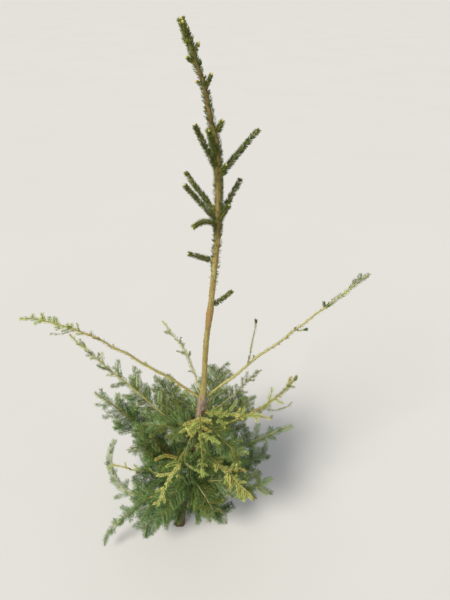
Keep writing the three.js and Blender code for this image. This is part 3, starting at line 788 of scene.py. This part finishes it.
# What follows is all drawn from one row of numbers, in the order of the script.
PLAY_SEED = 2024
play = np.random.RandomState(PLAY_SEED)


def clothing(limb, share):
    """How thick and how long a limb's needles are at a share of its length, and how many twigs it bears."""
    return levels(SPARSE.get(limb["name"], FULL), share)


# The one longest twig, on the long right limb, turns towards the view. Others are shorter where their limb is
# sparse.
LONG_TWIG, LONG_TWIG_TURN = 100, 40
SHORTENED, SHORTENED_BELOW = 0.3, 1.6
for twig in main_twigs:
    bearing = clothing(LIMBS[twig["owner"]], twig["share"])[2]
    if twig["length"] > LONG_TWIG:
        twig["heading"] -= LONG_TWIG_TURN
    else:
        twig["length"] *= SHORTENED + (1 - SHORTENED) * min(1, SHORTENED_BELOW * bearing)
lay_out(main_twigs, STATION_STEP["lower"])

wishes = []
for index, limb in enumerate(LIMBS):
    if not limb["twigs"]:
        continue
    path, length, bough, is_gold = whole_path(limb, 1), limb["length"], limb["bough"], limb["gold"]
    for _ in range(INNER_TWIGS if limb["height"] < INNER_BELOW else 0):
        place = trunk_at(limb["height"])[1][0] + play.uniform(*INNER_START)
        leaving = set_off(at_place(path, place), play.uniform(*INNER_SPREAD), play.uniform(*ALL_ROUND))
        wishes.append(dict(leaving, owner=index, bend=play.uniform(*INNER_BEND),
                           length=play.uniform(*INNER_LENGTH), share=0.0))
    count = int((length - FINE_START) / (GOLD_STEP if is_gold else FINE_STEP))
    for number in range(count):
        place = FINE_START + (length - FINE_START) * (number + play.uniform(*SCATTER)) / count
        share = place / length
        thick, full, many = clothing(limb, share)
        if play.uniform() > many:
            continue
        station = at_place(path, place)
        if is_gold:
            leaving = set_off(station, play.uniform(*GOLD_SPREAD), play.uniform(*ALL_ROUND))
            wished = play.uniform(*GOLD_LENGTH) * (GOLD_FULL - GOLD_THINNING * share)
        else:
            roll = 180 * (number % 2) + play.uniform(*FINE_ROLL)
            leaving = set_off(station, play.uniform(*FINE_SPREAD), roll)
            past = max(0, (place - bough) / (length - bough))
            longest = limb["reach"] * (1 - FINE_THINNING * past) * min(1, FOOT_SHARE + place / FOOT_LENGTH)
            wished = (longest if many > BARE_BELOW else BARE_REACH) * full * play.uniform(*FINE_PLAY)
        wishes.append(dict(leaving, owner=index, bend=FINE_LIFT, length=wished, share=share))
fine_twigs = lay_out(cut_to_space(wishes, FINE_SHORTEST), FINE_TWIG_STEP)

# Side twigs: on the longer twigs, by turns left and right.
SIDE_STEP, SIDE_LEAST, SIDE_START, SIDE_SHORTEST = 22, 46, 10, 11
SIDE_SPREAD, SIDE_ROLL, SIDE_LIFT = (40, 54), (-26, 26), 6
SIDE_SCATTER, SIDE_END = (0.35, 0.85), 0.4
SIDE_SHARE, SIDE_THINNING, SIDE_PLAY, SIDE_RADIUS = 0.5, 0.7, (0.6, 1.0), 1.0
GOLD_SIDE_STEP, GOLD_SIDE_LENGTH = 8, (11, 17)
wishes = []
for twig in main_twigs + fine_twigs:
    if twig["length"] < SIDE_LEAST:
        continue
    limb = LIMBS[twig["owner"]]
    is_gold = limb["gold"]
    count = int((twig["length"] - SIDE_START) / (GOLD_SIDE_STEP if is_gold else SIDE_STEP))
    for number in range(count):
        share = (number + play.uniform(*SIDE_SCATTER)) / (count + SIDE_END)
        if play.uniform() > clothing(limb, twig["share"])[2]:
            continue
        roll = 180 * (number % 2) + play.uniform(*SIDE_ROLL)
        station = station_at(twig["path"], share * (len(twig["path"][0]) - 1))
        leaving = set_off(station, play.uniform(*SIDE_SPREAD), roll)
        wished = twig["length"] * (1 - SIDE_THINNING * share) * SIDE_SHARE * play.uniform(*SIDE_PLAY)
        wished = play.uniform(*GOLD_SIDE_LENGTH) if is_gold else wished
        wishes.append(dict(leaving, owner=twig["owner"], bend=SIDE_LIFT, length=wished, share=twig["share"],
                           radius=SIDE_RADIUS))
side_twigs = lay_out(cut_to_space(wishes, SIDE_SHORTEST), FINE_TWIG_STEP)

# Twigs that stand out by themselves, each with a cover of needles of its own: nearly bare ones that hang or
# reach out, gold ones that bush out in front, and green ones that hide the trunk. Place is how far along its
# limb a twig starts. With 0 it goes on from the twig before it.
SHOWN_COLUMNS = ("limb", "place", "heading", "swing", "rise", "bend", "length", "cover")
SHOWN = (
    ("front_clump", 40, 206, 67, -32, -23, 108, "thin"),
    ("front_clump", 0, 330, 47, -21, -30, 76, "end"),
    ("rising_right", 206, 324, 12, 14, 48, 108, "thin"),
    ("long_left", 380, 190, -18, -16, 14, 72, "thin"),
    ("front_clump", 29, 200, 22, 33, -41, 50, "gold"),
    ("front_clump", 39, 203, 12, 13, -24, 58, "gold"),
    ("front_clump", 50, 211, 0, 15, -40, 42, "gold"),
    ("front_clump", 34, 226, 0, 24, -34, 44, "gold"),
    ("front_clump", 44, 236, 0, 14, -30, 40, "gold"),
    ("front_clump", 24, 222, 0, 20, -20, 34, "gold"),
    ("front_clump", 28, 350, -15, 8, -24, 32, "gold"),
    ("front_clump", 46, 338, 0, 2, -30, 30, "gold"),
    ("front_clump", 5, 288, 0, -34, -30, 70, "green"),
    ("front_clump", 4, 165, 0, 24, 4, 128, "comb"),
    ("inner_left", 4, 160, 0, 19, 2, 124, "comb"),
    ("gold_front_left", 53, 166, 50, 40, -40, 80, "gold"),
    ("gold_front_left", 10, 215, 58, 35, -60, 80, "gold"),
    ("gold_front_left", 60, 200, 20, 30, -30, 44, "gold"),
    ("gold_front_right", 16, 286, -6, 6, -30, 88, "green"),
    ("gold_front_left", 16, 268, 10, 0, -24, 84, "green"),
    ("gold_front_left", 14, 282, 0, -20, -20, 64, "green"),
    ("gold_front_left", 8, 279, 0, -50, -16, 72, "green"),
    ("gold_front_right", 138, 248, 0, 10, -10, 26, "gold"),
    ("gold_front_right", 150, 262, 0, 24, -20, 24, "gold"),
    ("gold_front_right", 160, 240, 0, 4, -10, 30, "gold"),
    ("gold_front_right", 172, 272, 0, 20, -20, 24, "gold"),
    ("gold_front_right", 184, 250, 0, 6, -14, 26, "gold"),
    ("gold_front_right", 196, 266, 0, 22, -20, 22, "gold"),
    ("gold_front_right", 206, 248, 0, 0, -10, 22, "gold"),
    ("inner_left", 6, 281, 0, -50, -12, 84, "green"),
    ("rising_right", 10, 288, 0, 12, -20, 72, "green"),
    ("inner_left", 10, 262, 8, -10, -20, 58, "green"),
    ("low_front_right", 14, 290, -8, 14, -24, 84, "green"),
    ("low_front_left", 14, 268, 8, 10, -24, 80, "green"),
    ("low_front_left", 12, 280, 0, -18, -20, 66, "green"),
    ("foot_front_right", 14, 298, 0, 12, -34, 76, "green"),
    ("foot_front_left", 14, 258, 0, 10, -40, 76, "green"),
)
COVERS = {
    "gold": ((0, 1, 1), (1, 1, 1)),
    "green": ((0, 1, 1), (1, 1, 1)),
    "comb": ((0, 0.6, 0.9), (1, 0.6, 0.8)),
    "end": ((0, 0.3, 0.6), (0.35, 0.6, 0.8), (0.6, 1, 1), (1, 1, 1)),
    "thin": ((0, 0.6, 0.7), (0.4, 0.25, 0.5), (1, 0.35, 0.6)),
}
SHOWN_SHARE, SHOWN_STEP = 0.9, 6
limb_names = [limb["name"] for limb in LIMBS]
shown_twigs = []
for row in SHOWN:
    twig = dict(zip(SHOWN_COLUMNS, row), owner=limb_names.index(row[0]), share=SHOWN_SHARE)
    if twig["place"]:
        twig["start"] = at_place(whole_path(LIMBS[twig["owner"]], 1), twig["place"])[0]
    else:
        twig["start"] = shown_twigs[-1]["path"][0][-1]
    shown_twigs += lay_out([twig], SHOWN_STEP)

MAIN_RADIUS, TIP_RADIUS = 1.3, 0.6
TWIG_SKIN = {"Sides": 4, "Relief": 0.0004, "Grain": 500.0}
all_twigs = lay_out(main_twigs + fine_twigs + side_twigs + shown_twigs, FINE_TWIG_STEP)
twig_axes = {"straw": [], "tan": [], "brown": []}
for twig in all_twigs:
    twig["radii"] = np.linspace(twig.get("radius", MAIN_RADIUS), TIP_RADIUS, len(twig["path"][0]))
    pale = LIMBS[twig["owner"]]["name"] in STRAW_LIMBS | TAN_LIMBS or "cover" in twig
    bark_kind = play.choice(["straw", "straw", "tan"] if pale else ["straw", "tan", "brown"])
    twig_axes[bark_kind].append((drift(twig["path"][0]), twig["radii"]))

twig_barks = {
    "straw": bark_finish("straw_twig_bark", (138, 138, 80), (166, 164, 104), (104, 100, 56)),
    "tan": bark_finish("tan_twig_bark", (112, 108, 60), (140, 134, 78), (84, 78, 44)),
    "brown": bark_finish("brown_twig_bark", (86, 76, 48), (110, 98, 62), (64, 54, 36)),
}
for bark_kind, finish in twig_barks.items():
    lines = axis_lines("lines", twig_axes[bark_kind])
    twigs = grow_piece(f"twigs_{bark_kind}", lines, axis_skin, {**TWIG_SKIN, "Material": finish})
    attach(twigs, "root")
    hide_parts(*[f"mass_{limb['name']}" for limb in LIMBS if limb["twigs"]])

# Needles. Stiff, waxy and pointed, bowed a little forwards, each on its own peg, spiralling round the shoot.
# On the lower shoots they are 12 to 15 mm long and stand well out to the sides. On the gold shoots they are
# shorter and thicker, and on the upper ones and the leader short and close. Pegs are what fallen ones leave.
GOLDEN_TURN = math.radians(137.508)
NEEDLE_START, FOOT_DEPTH = 1.5, 0.75
NEEDLE_PLAY, BREADTH_PLAY, LEAN_PLAY = (0.86, 1.04), (0.85, 1.15), 5
# Over the last stretch they close up. Beside both ends of the shoot they are shorter.
CLOSING, CLOSING_LEAST, LEAN_LOSS = 14, 4, 6
FOOT_STRETCH, FOOT_SIZE = 8, 0.7
TIP_STRETCH, TIP_SIZE = 6, 0.75
PARTING, PARTING_FILL, UNRULY = 0.45, 0.2, 3
# Spacing is how much further along the shoot each next one stands. Top and under say how far out they stand
# there, and bow which way they bow: 1 ahead along the shoot, and -1 back.
CLOSE = dict(top=1, under=1, parting=0, unruly=6)
NEEDLE = {
    "lower": dict(length=14.5, width=1, lean=(58, 34), spacing=0.35, top=0.6, under=0.3, bow=1),
    "gold": dict(length=8.2, width=1.4, lean=(58, 34), spacing=0.5, top=0.9, under=0.55, bow=1),
    "upper": dict(CLOSE, length=9, width=1.3, lean=(50, 38), spacing=0.17, bow=-1),
    "leader": dict(CLOSE, length=12, width=1.4, lean=(38, 22), spacing=0.1, bow=-1),
    "bud": dict(CLOSE, length=5.5, width=1.3, lean=(42, 26), spacing=0.18, bow=-1),
    "stem": dict(CLOSE, length=9.5, width=1.4, lean=(42, 34), spacing=0.17, bow=-1),
    "peg": dict(CLOSE, length=3.4, width=1.1, lean=(56, 46), spacing=1.5, bow=1),
}
# Needles lean together in small bunches along either side, which differ in length, closeness and colour.
BUNCH, BUNCH_FILL, BUNCH_PLAY = 3, (0.6, 1.1), (0.74, 1.04)
# A spindle is drawn out to its tip, so that it is widest nearer its foot.
WIDE_TO_TIP, MERGE = 1.3, 0.001
net, given = geometry_tree("spindles", {
    "Sides": "Int", "Rings": "Int", "Bow": "Float", "Fullness": "Float", "Material": "Material"})
line = net.node("GeometryNodeCurvePrimitiveLine", {"Start": (0, 0, 0), "End": (0, 0, 1)})
line = net.node("GeometryNodeResampleCurve", {"Curve": line, "Count": given["Rings"] + 2})
share = net.node("GeometryNodeSplineParameter")
girth = (4 * share * (1 - share)) ** given["Fullness"]
drawn = share ** WIDE_TO_TIP
bowed = net.node("ShaderNodeCombineXYZ", {"X": drawn * drawn * given["Bow"], "Z": drawn})
line = net.node("GeometryNodeSetPosition", {"Geometry": line, "Position": bowed})
ring = net.node("GeometryNodeCurvePrimitiveCircle", {"Resolution": given["Sides"], "Radius": 0.5})
spindle = net.node("GeometryNodeCurveToMesh", {"Curve": line, "Profile Curve": ring, "Scale": girth})
spindle = net.node("GeometryNodeMergeByDistance", {"Geometry": spindle, "Distance": MERGE})
aim, lie, size = (
    net.node("GeometryNodeInputNamedAttribute", {"Name": label}, data_type="FLOAT_VECTOR")
    for label in ("aim", "lie", "size"))
turned = net.node("FunctionNodeAxesToRotation", {"Primary Axis": aim, "Secondary Axis": lie},
                  primary_axis="Z", secondary_axis="X")
sockets = {"Points": given["Geometry"], "Instance": spindle, "Rotation": turned, "Scale": size}
placed = net.node("GeometryNodeInstanceOnPoints", sockets)
finish_tree(net, placed, given)
spindles = net.tree


def spindle_points(name, rows):
    """A mesh of loose points that say where each spindle stands, where it aims and how large it is."""
    mesh = bpy.data.meshes.new(name)
    mesh.from_pydata((rows["foot"] * MM).tolist(), [], [])
    add_attribute(mesh, "aim", rows["aim"])
    add_attribute(mesh, "lie", rows["lie"])
    add_attribute(mesh, "size", rows["size"] * MM)
    return mesh


def picked(rows, which):
    """The rows that an index picks from each column."""
    return {label: values[which] for label, values in rows.items()}


def unit(arrows):
    """The same arrows at a length of 1."""
    return arrows / np.linalg.norm(arrows, axis=1)[:, None]


def needles_along(path, radii, form, start=NEEDLE_START, thick=1.0, full=1.0):
    """The needles of one shoot: their feet, aims and sizes. How thick and full it is may change along it."""
    points = path[0]
    reach = reach_of(points)
    total = reach[-1]
    count = max(1, int((total - start) / form["spacing"]))
    places = start + (total - start) * (np.arange(count) + play.uniform(*SCATTER, count)) / count
    turn = np.arange(count) * GOLDEN_TURN + play.uniform(0, 2 * math.pi)
    bunch = (places / BUNCH).astype(int) * 2 + (np.cos(turn) > 0)
    bunches = bunch.max() + 1
    stands = play.uniform(size=count) < np.interp(places, reach, np.broadcast_to(thick, len(reach)))
    stands &= play.uniform(size=count) < play.uniform(*BUNCH_FILL, bunches)[bunch]
    on_top = (np.sin(turn) > 0) & (np.abs(np.cos(turn)) < form.get("parting", PARTING))
    stands &= ~on_top | (play.uniform(size=count) < PARTING_FILL)
    places, turn, bunch = places[stands], turn[stands], bunch[stands]
    at, ahead, side, above = along_path(path, places)
    ahead = unit(ahead)
    lift = np.sin(turn)
    lift *= np.where(lift > 0, form["top"], form["under"])
    out = unit(side * np.cos(turn)[:, None] + above * lift[:, None])
    wide, close = form["lean"]
    bends = (0, max(CLOSING_LEAST, total - CLOSING), total)
    lean = np.interp(places, bends, (wide, wide - LEAN_LOSS, close))
    unruly = play.normal(0, LEAN_PLAY, len(places))
    unruly += play.normal(0, form.get("unruly", UNRULY), bunches)[bunch]
    lean = np.radians(lean + unruly)
    aim = ahead * np.cos(lean)[:, None] + out * np.sin(lean)[:, None]
    size = form["length"] * np.interp(places, reach, np.broadcast_to(full, len(reach)))
    ends = (0, FOOT_STRETCH, total - TIP_STRETCH, total)
    size *= np.interp(places, ends, (FOOT_SIZE, 1, 1, TIP_SIZE))
    size *= play.uniform(*NEEDLE_PLAY, len(places)) * play.uniform(*BUNCH_PLAY, bunches)[bunch]
    foot = at + out * (FOOT_DEPTH * np.interp(places, reach, radii))[:, None]
    tips = foot + aim * size[:, None]
    fits = (tips[:, 2] > LOWEST_TIP) & in_box(tips, NEEDLE_SPARE)
    width = form["width"] * play.uniform(*BREADTH_PLAY, len(places))
    sizes = np.stack([width, width, size], 1)
    rows = {"foot": foot, "aim": aim, "lie": ahead * form["bow"], "size": sizes, "bunch": bunch}
    rows = picked(rows, fits)
    rows["foot"] = drift(rows["foot"])
    return rows


DEEP, MID, BLUE, FROST, MOSS, OLIVE = "deep", "mid", "blue", "frost", "moss", "olive"
LIME, YELLOW, AMBER, PEG = "lime", "yellow", "amber", "peg"
NEEDLE_TONES = {
    DEEP: ((64, 90, 46), (88, 116, 60)),
    MID: ((104, 136, 68), (132, 162, 86)),
    BLUE: ((102, 136, 82), (132, 168, 104)),
    FROST: ((158, 184, 122), (190, 212, 152)),
    MOSS: ((118, 130, 56), (146, 158, 76)),
    OLIVE: ((80, 90, 36), (110, 118, 50)),
    LIME: ((186, 206, 98), (214, 230, 132)),
    YELLOW: ((222, 220, 112), (242, 240, 150)),
    AMBER: ((200, 172, 82), (222, 198, 108)),
    PEG: ((124, 100, 54), (158, 134, 76)),
}
# The colours that sprays are dealt by their place, and then those of some limbs, from a share of their length
# on. By place they also carry painted light and shade, as said at each list. A spray is mostly of one colour,
# with bunches of another that its place could have had.
# Near the trunk the needles are darker: partly older ones, and partly painted shade inside the crown.
OLD_AND_SHADED_NEAR_TRUNK = (DEEP, MID, DEEP, MID)
LEFT_SIDE = (MID, BLUE, BLUE, DEEP, FROST)
# Out on the right many needles are pale and frosted: painted highlights where the sun falls.
LIT_RIGHT_SIDE = (MOSS, FROST, BLUE, MOSS, FROST)
HIGH_LEFT = (MOSS, FROST, LIME, FROST, MID)
HIGH_ABOVE = 380
LOW_LEFT = (MID, BLUE, FROST, BLUE)
# Low down on the right, below the height that follows, the needles are mostly dark: painted shade under the
# crown.
SHADED_LOW_SIDE = (DEEP, MID, DEEP, DEEP, MOSS)
SHADY_BELOW = 165
GREENS = (DEEP, MID, MID, MOSS)
DEALT = {
    "long_right": ((0, (MOSS, LIME)), (0.72, (MID, MOSS, DEEP))),
    "long_left": ((0, (MOSS, LIME, AMBER)), (0.6, (LIME, FROST, LIME))),
    "slim_back_left": ((0, (MOSS, MID)), (0.6, (MOSS, LIME))),
    "slim_back_right": ((0, (MID, MOSS)), (0.6, (MOSS, MID))),
    "second_left": ((0, (MID, BLUE, MOSS)), (0.2, (MOSS, FROST, MID)), (0.6, (MOSS, MID, LIME))),
    "third_left": ((0, (BLUE, MOSS, MID)), (0.6, (BLUE, FROST, MID))),
    "inner_left": ((0, (MOSS, MID, BLUE)),),
    "rising_right": ((0, (MID, MOSS)), (0.5, (MOSS, AMBER, LIME))),
    "arching_left": ((0, (BLUE, MID, FROST)), (0.6, (BLUE, FROST, MID))),
    "drooping_left": ((0, (BLUE, MID)), (0.45, (BLUE, MID, FROST))),
    "low_left": ((0, (BLUE, MID, DEEP)), (0.62, (LIME, YELLOW, LIME))),
    # The low front limbs on the right are dealt dark needles: painted shade under the crown.
    "low_front_right": ((0, (DEEP, MID, MID, MOSS)),),
    "low_front_left": ((0, (MID, MID, BLUE)),),
    "foot_front_right": ((0, (DEEP, MID, DEEP, BLUE)),),
    "drooping_right": ((0, (MID, BLUE, MOSS)), (0.85, (MOSS, LIME))),
    "arching_right": ((0, (MID, BLUE)), (0.5, (BLUE, FROST, MID))),
    "low_back_right": ((0, (BLUE, MID)), (0.6, (BLUE, BLUE, FROST))),
    "gold_right": ((0, GREENS), (0.08, (LIME, MOSS, LIME)), (0.42, (YELLOW, LIME, YELLOW)),
                   (0.93, (MOSS, MID))),
    "front_clump": ((0, GREENS), (0.09, (LIME, YELLOW, LIME, MOSS)), (0.6, (LIME, MOSS))),
    "gold_front_right": ((0, GREENS), (0.34, (LIME, MOSS, AMBER, YELLOW)), (0.56, (YELLOW, LIME, YELLOW))),
    "gold_front_left": ((0, GREENS), (0.36, (LIME, YELLOW, YELLOW)), (0.8, (YELLOW, YELLOW, LIME))),
}
# Lighter needles on some limbs' own axes than on their twigs: painted light on the topmost shoots, where the
# sun falls.
SUNLIT_AXIS_DEALT = {"inner_left": (FROST, FROST, BLUE), "high_back": (MID, BLUE), "middle_back": (BLUE, FROST),
              "low_right": (MID, FROST)}
# The green twigs that hide the trunk are dark: painted shade inside the crown.
COVER_MIXES = {"end": (AMBER, LIME), "thin": (MOSS,), "gold": (LIME, YELLOW, LIME, AMBER, LIME),
               "green": (DEEP, DEEP, MID), "comb": (MID, MOSS, DEEP)}
NEAR, MIDDLE = 48, 20
UPPER_MIX = (OLIVE, OLIVE, OLIVE, MOSS, DEEP)
needle_sets = {shade: [] for shade in NEEDLE_TONES}
needle_owners = {shade: set() for shade in NEEDLE_TONES}


def mix_of(limb, point, share):
    """The colours that a spray may have: by its limb and how far out it is."""
    if limb["kind"] != "lower":
        return UPPER_MIX
    if limb["name"] in DEALT:
        return [mix for start, mix in DEALT[limb["name"]] if start <= share][-1]
    from_trunk = math.hypot(point[0] - trunk_at(point[2])[0][0, 0], point[1])
    if point[2] > HIGH_ABOVE and point[0] < MIDDLE and from_trunk > NEAR / 2:
        return HIGH_LEFT
    if from_trunk < NEAR:
        return OLD_AND_SHADED_NEAR_TRUNK
    if point[2] < SHADY_BELOW:
        return LOW_LEFT if point[0] < 0 else SHADED_LOW_SIDE
    return LEFT_SIDE if point[0] < MIDDLE else LIT_RIGHT_SIDE


def spray_mix(mix):
    """A spray's main colour, twice, and another."""
    main = mix[play.randint(len(mix))]
    return (main, main, mix[play.randint(len(mix))])


def deal(rows, mix, name):
    """Puts a spray's needles, bunch by bunch, with those of the colours that it is dealt."""
    if not len(rows["foot"]):
        return
    dealt = play.randint(len(mix), size=rows["bunch"].max() + 1)[rows["bunch"]]
    for place, shade in enumerate(mix):
        if name in limb_names:
            needle_owners[shade].add(f"mass_{name}")
        needle_sets[shade].append(picked(rows, dealt == place))


# On the limbs themselves the colour changes every few centimetres. Needles start so far from the trunk on
# limbs and on short shoots, and the fewer there are, the more pegs.
STRETCH = 45
LIMB_CLEAR, SHOOT_CLEAR = 8, 2
PEGS_UNDER = 0.7
for limb in LIMBS + NUBS:
    path, length = whole_path(limb, FINER), limb["length"]
    shares = np.linspace(0, 1, len(path[0]))
    thick, full, _ = clothing(limb, shares)
    kind = "gold" if limb["gold"] else limb["kind"]
    start = trunk_at(limb["height"])[1][0] + (LIMB_CLEAR if limb["twigs"] else SHOOT_CLEAR)
    rows = needles_along(path, limb_radius(limb, shares), NEEDLE[kind], start, thick, full)
    for some in np.array_split(np.arange(len(rows["foot"])), max(1, round(length / STRETCH))):
        share = some[len(some) // 2] / len(rows["foot"])
        mix = SUNLIT_AXIS_DEALT.get(limb["name"]) or mix_of(limb, rows["foot"][some[0]], share)
        mix = spray_mix(mix) if limb["kind"] == "lower" else mix
        deal(picked(rows, some), mix, limb["name"])
    if limb["name"] in SPARSE:
        pegs = needles_along(path, limb_radius(limb, shares), NEEDLE["peg"], start, 1 - PEGS_UNDER * thick)
        deal(pegs, (PEG,), limb["name"])

# On the twigs. Those at a gold limb's foot are green, and those of sparse limbs aren't quite bare.
SPARSE_LEAST, GREEN_UP_TO = 0.6, 0.05
for twig in all_twigs:
    limb, path, cover = LIMBS[twig["owner"]], twig["path"], twig.get("cover")
    is_gold = limb["gold"] and twig["share"] > GREEN_UP_TO and cover not in ("green", "comb")
    thick, full, _ = clothing(limb, twig["share"])
    mix = mix_of(limb, path[0][len(path[0]) // 2], twig["share"])
    if cover:
        thick, full = levels(COVERS[cover], np.linspace(0, 1, len(path[0])))
        mix = COVER_MIXES[cover]
    elif limb["name"] in SPARSE:
        thick = max(thick, SPARSE_LEAST)
    form = NEEDLE["gold" if is_gold else "lower"]
    deal(needles_along(path, twig["radii"], form, NEEDLE_START, thick, full), spray_mix(mix), limb["name"])

# Dense dark tufts where a year's growth ended, by limb, distance along it and length, and at the ends of the
# long right limb's twigs.
TUFTS = (("long_right", 398, 16), ("long_right", 300, 7), ("rising_right", 336, 14), ("long_left", 392, 9))
TUFT, TUFT_MIX = {**NEEDLE["gold"], "spacing": 0.2}, (DEEP, DEEP, MID)
TUFT_POINTS, TUFT_RADIUS = 6, 2.0
END_TUFT, END_TUFT_POINTS, END_TUFT_RADIUS = 9, 5, 0.8


def add_tuft(name, path, places, radius):
    """Puts a tuft on a limb's or twig's path, from the first of some places along it to the last."""
    needles = needles_along(along_path(path, places), np.full(len(places), radius), TUFT, 0)
    deal(needles, TUFT_MIX, name)


for name, place, extent in TUFTS:
    path = whole_path(LIMBS[limb_names.index(name)], FINER)
    add_tuft(name, path, np.linspace(place, place + extent, TUFT_POINTS), TUFT_RADIUS)
for twig in main_twigs:
    if LIMBS[twig["owner"]]["name"] == "long_right":
        places = np.linspace(twig["length"] - END_TUFT, twig["length"], END_TUFT_POINTS)
        add_tuft("long_right", twig["path"], places, END_TUFT_RADIUS)

# On the leader and the stem below it the needles lie close along the bark, and lower down only pegs stand.
STEM_COVER = ((940, 0), (985, 0.15), (1060, 0.3), (1105, 0.8), (1140, 0.5), (1195, 0.8), (1300, 0.6),
              (1340, 0.6), (1385, 0.55), (1400, 1), (1414, 1))
PEG_COVER = ((630, 0.5), (700, 0.8), (940, 1), (1060, 0.7), (1120, 0))
STEM_POINTS = 160
stem_heights = np.linspace(PEG_COVER[0][0], TRUNK_TOP, STEM_POINTS)
stem_points, stem_radii = trunk_at(stem_heights)
stem_ahead = unit(np.gradient(stem_points, axis=0))
stem_across = np.tile((0.0, 1.0, 0.0), (STEM_POINTS, 1))
stem_path = (stem_points, stem_ahead, stem_across, np.cross(stem_ahead, stem_across))
STEM_GIRTH, PEG_GIRTH = 1.2, 1.25
thick = levels(STEM_COVER, stem_heights)[0]
deal(needles_along(stem_path, stem_radii * STEM_GIRTH, NEEDLE["stem"], 0, thick), UPPER_MIX, "stem")
thick = levels(PEG_COVER, stem_heights)[0]
deal(needles_along(stem_path, stem_radii * PEG_GIRTH, NEEDLE["peg"], 0, thick), (PEG,), "stem")
NEEDLE_SHIFT, NEEDLE_MATT, NEEDLE_SHINE, NEEDLE_GLOSS = (60, 0.35, 0.65), 0.62, 0.14, 0.35


def needle_finish(name, shadow, light):
    """Waxy needles: a plain base colour with a soft shift from one spray to the next."""
    finish, net = new_finish(name)
    shift = net.pattern(*NEEDLE_SHIFT)
    colour = net.mix(shift, tone(*shadow), tone(*light))
    net.dress(colour, NEEDLE_MATT - NEEDLE_SHINE * shift, **{"Specular IOR Level": NEEDLE_GLOSS})
    return finish


# A needle is six triangles, so a piece of this many stays under 200,000.
PIECE_NEEDLES = 32000
NEEDLE_SHAPE = {"Sides": 3, "Rings": 1, "Bow": 1.1, "Fullness": 0.35}
for shade, sets in needle_sets.items():
    finish = needle_finish(f"needles_{shade}", *NEEDLE_TONES[shade])
    rows = {label: np.vstack([some[label] for some in sets]) for label in ("foot", "aim", "lie", "size")}
    count = len(rows["foot"])
    parts = np.array_split(np.arange(count), math.ceil(count / PIECE_NEEDLES))
    for number, some in enumerate(parts, 1):
        name = f"needles_{shade}" if len(parts) == 1 else f"needles_{shade}_{number}"
        values = {**NEEDLE_SHAPE, "Material": finish}
        piece = grow_piece(name, spindle_points(name, picked(rows, some)), spindles, values)
        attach(piece, "root")
        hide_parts(*sorted(needle_owners[shade]))

# Buds. Scaly and blunt at the ends of the shoots: pale yellow-green and swelling on the leader and the upper
# shoots, small and tan on the lower ones. Each is a closed drop that sits over its shoot's end.
BUD_TONES = {"pale": ((206, 192, 104), (232, 220, 142)), "tan": ((146, 104, 62), (180, 136, 84))}
BUD_RINGS, BUD_SEAT = {"pale": 3, "tan": 2}, 0.25
BUD_SHAPE = {"Sides": 6, "Bow": 0.0, "Fullness": 0.5}
BUD_SCALES, BUD_MATT, BUD_SHINE = (900, 0.42, 0.6), 0.7, 0.15
BUD_SIZE = {"leader": (5.6, 9.5), "beside": (4.2, 7.0), "bud": (4.0, 6.5), "upper": (3.4, 6.0),
            "lower": (2.6, 4.6), "twig": (1.9, 3.4)}
# Three more stand beside the top one, round it by these turns, a little out and down, and lean outwards.
BESIDE_TURNS = (0.4, 2.4, 4.5)
BESIDE_OUT, BESIDE_DOWN, BESIDE_AIM = 2.4, 3, (0.86, 0.5)
buds = {"pale": [], "tan": []}
for limb in LIMBS + NUBS:
    tip, ahead, side, above = (rows[-1] for rows in whole_path(limb, FINER))
    kind = limb["kind"]
    buds["tan" if kind == "lower" else "pale"].append((tip, ahead, side, BUD_SIZE[kind]))
    for turn in BESIDE_TURNS if kind == "leader" else ():
        out = side * math.cos(turn) + above * math.sin(turn)
        aim = ahead * BESIDE_AIM[0] + out * BESIDE_AIM[1]
        buds["pale"].append((tip + BESIDE_OUT * out - BESIDE_DOWN * ahead, aim, out, BUD_SIZE["beside"]))
for twig in main_twigs + fine_twigs:
    buds["tan"].append((*(rows[-1] for rows in twig["path"][:3]), BUD_SIZE["twig"]))
for kind, sets in buds.items():
    finish, net = new_finish(f"buds_{kind}")
    scales = net.pattern(*BUD_SCALES)
    colour = net.mix(scales, *(tone(*shade) for shade in BUD_TONES[kind]))
    net.dress(colour, BUD_MATT - BUD_SHINE * scales)
    tips, aims, lies, sizes = (np.array(column) for column in zip(*sets))
    aims, sizes = unit(aims), sizes[:, (0, 0, 1)]
    feet = drift(tips) - aims * sizes[:, 2:] * BUD_SEAT
    rows = {"foot": feet, "aim": aims, "lie": lies, "size": sizes}
    values = {**BUD_SHAPE, "Rings": BUD_RINGS[kind], "Material": finish}
    piece = grow_piece(f"buds_{kind}", spindle_points(f"buds_{kind}", rows), spindles, values)
    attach(piece, "root")
    "needles_gold" if kind == "pale" else "bough_bark"
    bare_ends = [limb["name"] for limb in LIMBS if (limb["kind"] != "lower") == (kind == "pale")]
    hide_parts(*[f"mass_{name}" for name in bare_ends])
